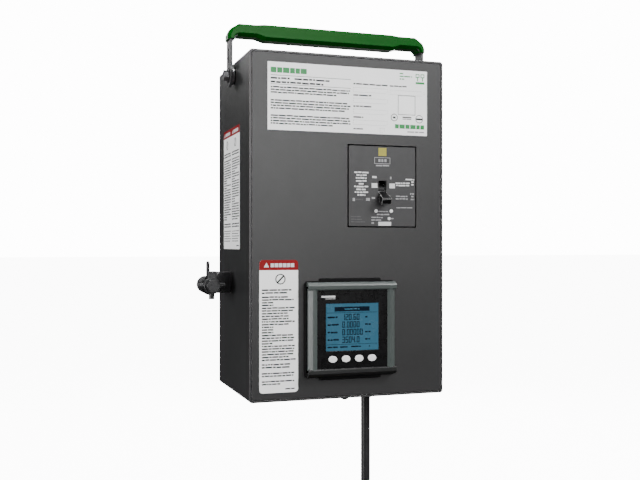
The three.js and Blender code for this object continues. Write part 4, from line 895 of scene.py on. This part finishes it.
def notice_label(sheet, width):
    """Tall notice: a red band with a triangle, a crossed ring and lines of word bars."""
    draw = random.Random(7)
    radius, band = 3.6, 10.3
    edge = [(0.0, band), (width, band)]
    corners = rounded(width, 2 * band, radius, 6, (width / 2, band))
    top = [p for p in corners if p[1] <= band]
    top.sort(key=lambda p: -p[0])
    sheet.slab(edge + top, "red")
    sheet.slab([(4.6, 7.4), (10.2, 7.4), (7.4, 2.6)], "white", ON_BAND)
    for u, wide in ((11.8, 3.4), (15.9, 3.8), (20.4, 3.4), (24.5, 3.8), (29.0, 3.2), (32.9, 3.6)):
        sheet.bar(u, 3.4, wide, 3.9, "white", ON_BAND)
    sheet.ring(22.0, 19.4, 5.4, 1.1, "black")
    sheet.slab([(18.2, 22.4), (19.3, 23.5), (26.0, 16.6), (24.9, 15.5)], "black")
    for v, wide in ((29.6, 31.0), (32.4, 28.0), (104.6, 31.0), (107.4, 30.0)):
        sheet.words(draw, 2.6, v, wide, 1.8, "black", 1.0)
    v = 36.6
    while v < 101.5:
        long = draw.choice((34.5, 33.0, 35.5, 28.0, 12.0, 34.0))
        sheet.words(draw, 2.6, v, long, 1.7, "black", 0.8)
        v += 2.75
    for v, wide in ((113.4, 34.0), (116.1, 33.0), (121.6, 34.0), (124.4, 20.0)):
        sheet.words(draw, 2.6, v, wide, 1.7, "black", 0.8)
    sheet.words(draw, 27.0, 129.6, 10.0, 1.5, "black", 0.9)


def side_label(sheet, width):
    """Wide notice in two columns under a red band, with the same marks."""
    draw = random.Random(9)
    sheet.bar(0.0, 0.0, width, 8.4, "red")
    for start in (4.0, 43.0):
        sheet.slab([(start, 6.6), (start + 4.6, 6.6), (start + 2.3, 2.2)], "white", ON_BAND)
        for k in range(5):
            sheet.bar(start + 6.4 + 4.6 * k, 2.8, 3.7, 3.4, "white", ON_BAND)
        sheet.ring(start + 14.0, 16.6, 4.8, 1.0, "black")
        stroke = ((10.8, 19.2), (11.8, 20.2), (17.4, 14.2), (16.4, 13.2))
        sheet.slab([(start + u, v) for u, v in stroke], "black")
        for k in range(2):
            sheet.words(draw, start - 1.5, 25.4 + 2.8 * k, 33.0, 1.8, "black", 1.0)
        v = 33.0
        while v < 100.0:
            sheet.words(draw, start - 1.5, v, draw.choice((34.0, 32.5, 34.5, 27.0, 14.0)), 1.6, "black", 0.8)
            v += 2.7
        for k in range(2):
            sheet.words(draw, start - 1.5, 103.0 + 2.8 * k, 33.0, 1.7, "black", 1.0)
        for k in range(5):
            sheet.words(draw, start - 1.5, 111.0 + 2.7 * k, draw.choice((34.0, 30.0)), 1.15, "grey", 0.8)
    sheet.words(draw, 62.0, 126.6, 12.0, 1.4, "black", 0.9)


label("data_label", (-87.8, FRONT_Y, 165.8), *ON_FRONT, 175.8, 68.7, 0.4, data_label)
label("front_notice", (-96.4, FRONT_Y, -34.2), *ON_FRONT, 40.6, 134.0, 3.6, notice_label)
label("side_notice", (LEFT_X, -25.7, 107.5), *ON_LEFT, 77.8, 131.0, 1.2, side_label)

# ---------------------------------------------------------------- studio

SEEN_WORLD = 14.0
SOFT_WORLD = 0.5
MIRRORED_WORLD = 0.06
FLOOR_GLOW = 12.0
floor_mesh = bpy.data.meshes.new("floor")
FLOOR_HALF, FLOOR_HEIGHT = 40.0, -0.56
corners = ((-1, -1), (1, -1), (1, 1), (-1, 1))
floor_corners = [(x * FLOOR_HALF, y * FLOOR_HALF, FLOOR_HEIGHT) for x, y in corners]
floor_mesh.from_pydata(floor_corners, [], [(0, 1, 2, 3)])
floor = bpy.data.objects.new("floor", floor_mesh)
floor_mesh.materials.append(surface("studio_floor", (0.88, 0.88, 0.88), 0.8, cloud=0.01, grain=60,
                                    grain_depth=0.01, level=0.0, glow=FLOOR_GLOW))
bpy.context.scene.collection.objects.link(floor)
floor.visible_glossy = floor.visible_diffuse = False

world = bpy.data.worlds.new("studio")
bpy.context.scene.world = world
world.use_nodes = True
tree = world.node_tree
tree.nodes.clear()
path = add(tree, "ShaderNodeLightPath").outputs
seen = add(tree, "ShaderNodeBackground", {"Color": (1, 1, 1, 1), "Strength": SEEN_WORLD})
soft = add(tree, "ShaderNodeBackground", {"Color": (1, 1, 1, 1), "Strength": SOFT_WORLD})
mirrored = add(tree, "ShaderNodeBackground", {"Color": (1, 1, 1, 1), "Strength": MIRRORED_WORLD})
by_gloss = {0: path["Is Glossy Ray"], 1: soft.outputs[0], 2: mirrored.outputs[0]}
lit = add(tree, "ShaderNodeMixShader", by_gloss)
both = add(tree, "ShaderNodeMixShader", {0: path["Is Camera Ray"], 1: lit.outputs[0], 2: seen.outputs[0]})
add(tree, "ShaderNodeOutputWorld", {"Surface": both.outputs[0]})


def softbox(name, place, target, width, height, watts):
    """An area light that the camera does not see."""
    light = bpy.data.lights.new(name, "AREA")
    light.shape = "RECTANGLE"
    light.size, light.size_y = width, height
    light.energy = watts
    lamp = bpy.data.objects.new(name, light)
    lamp.location = place
    lamp.rotation_euler = (Vector(target) - Vector(place)).to_track_quat("-Z", "Y").to_euler()
    lamp.visible_camera = False
    bpy.context.scene.collection.objects.link(lamp)


softbox("key", (0.35, -2.2, 0.45), (0, 0, 0.05), 0.6, 0.7, 17)
softbox("fill", (1.4, -1.8, 1.5), (0, 0, 0), 0.7, 0.7, 60)
softbox("strip", (-2.4, -0.6, 0.1), (0, 0, 0), 0.3, 1.6, 60)
softbox("top", (0.1, -0.3, 1.9), (0, 0, 0), 1.0, 0.6, 50)
softbox("left", (-0.75, 2.0, 0.95), (0, 0, 0.1), 0.5, 0.5, 5)
softbox("right", (2.0, -0.2, 0.5), (0, 0, 0), 0.8, 1.0, 18)
softbox("rear", (0.9, 2.0, 0.7), (0, 0, 0), 0.9, 0.9, 30)
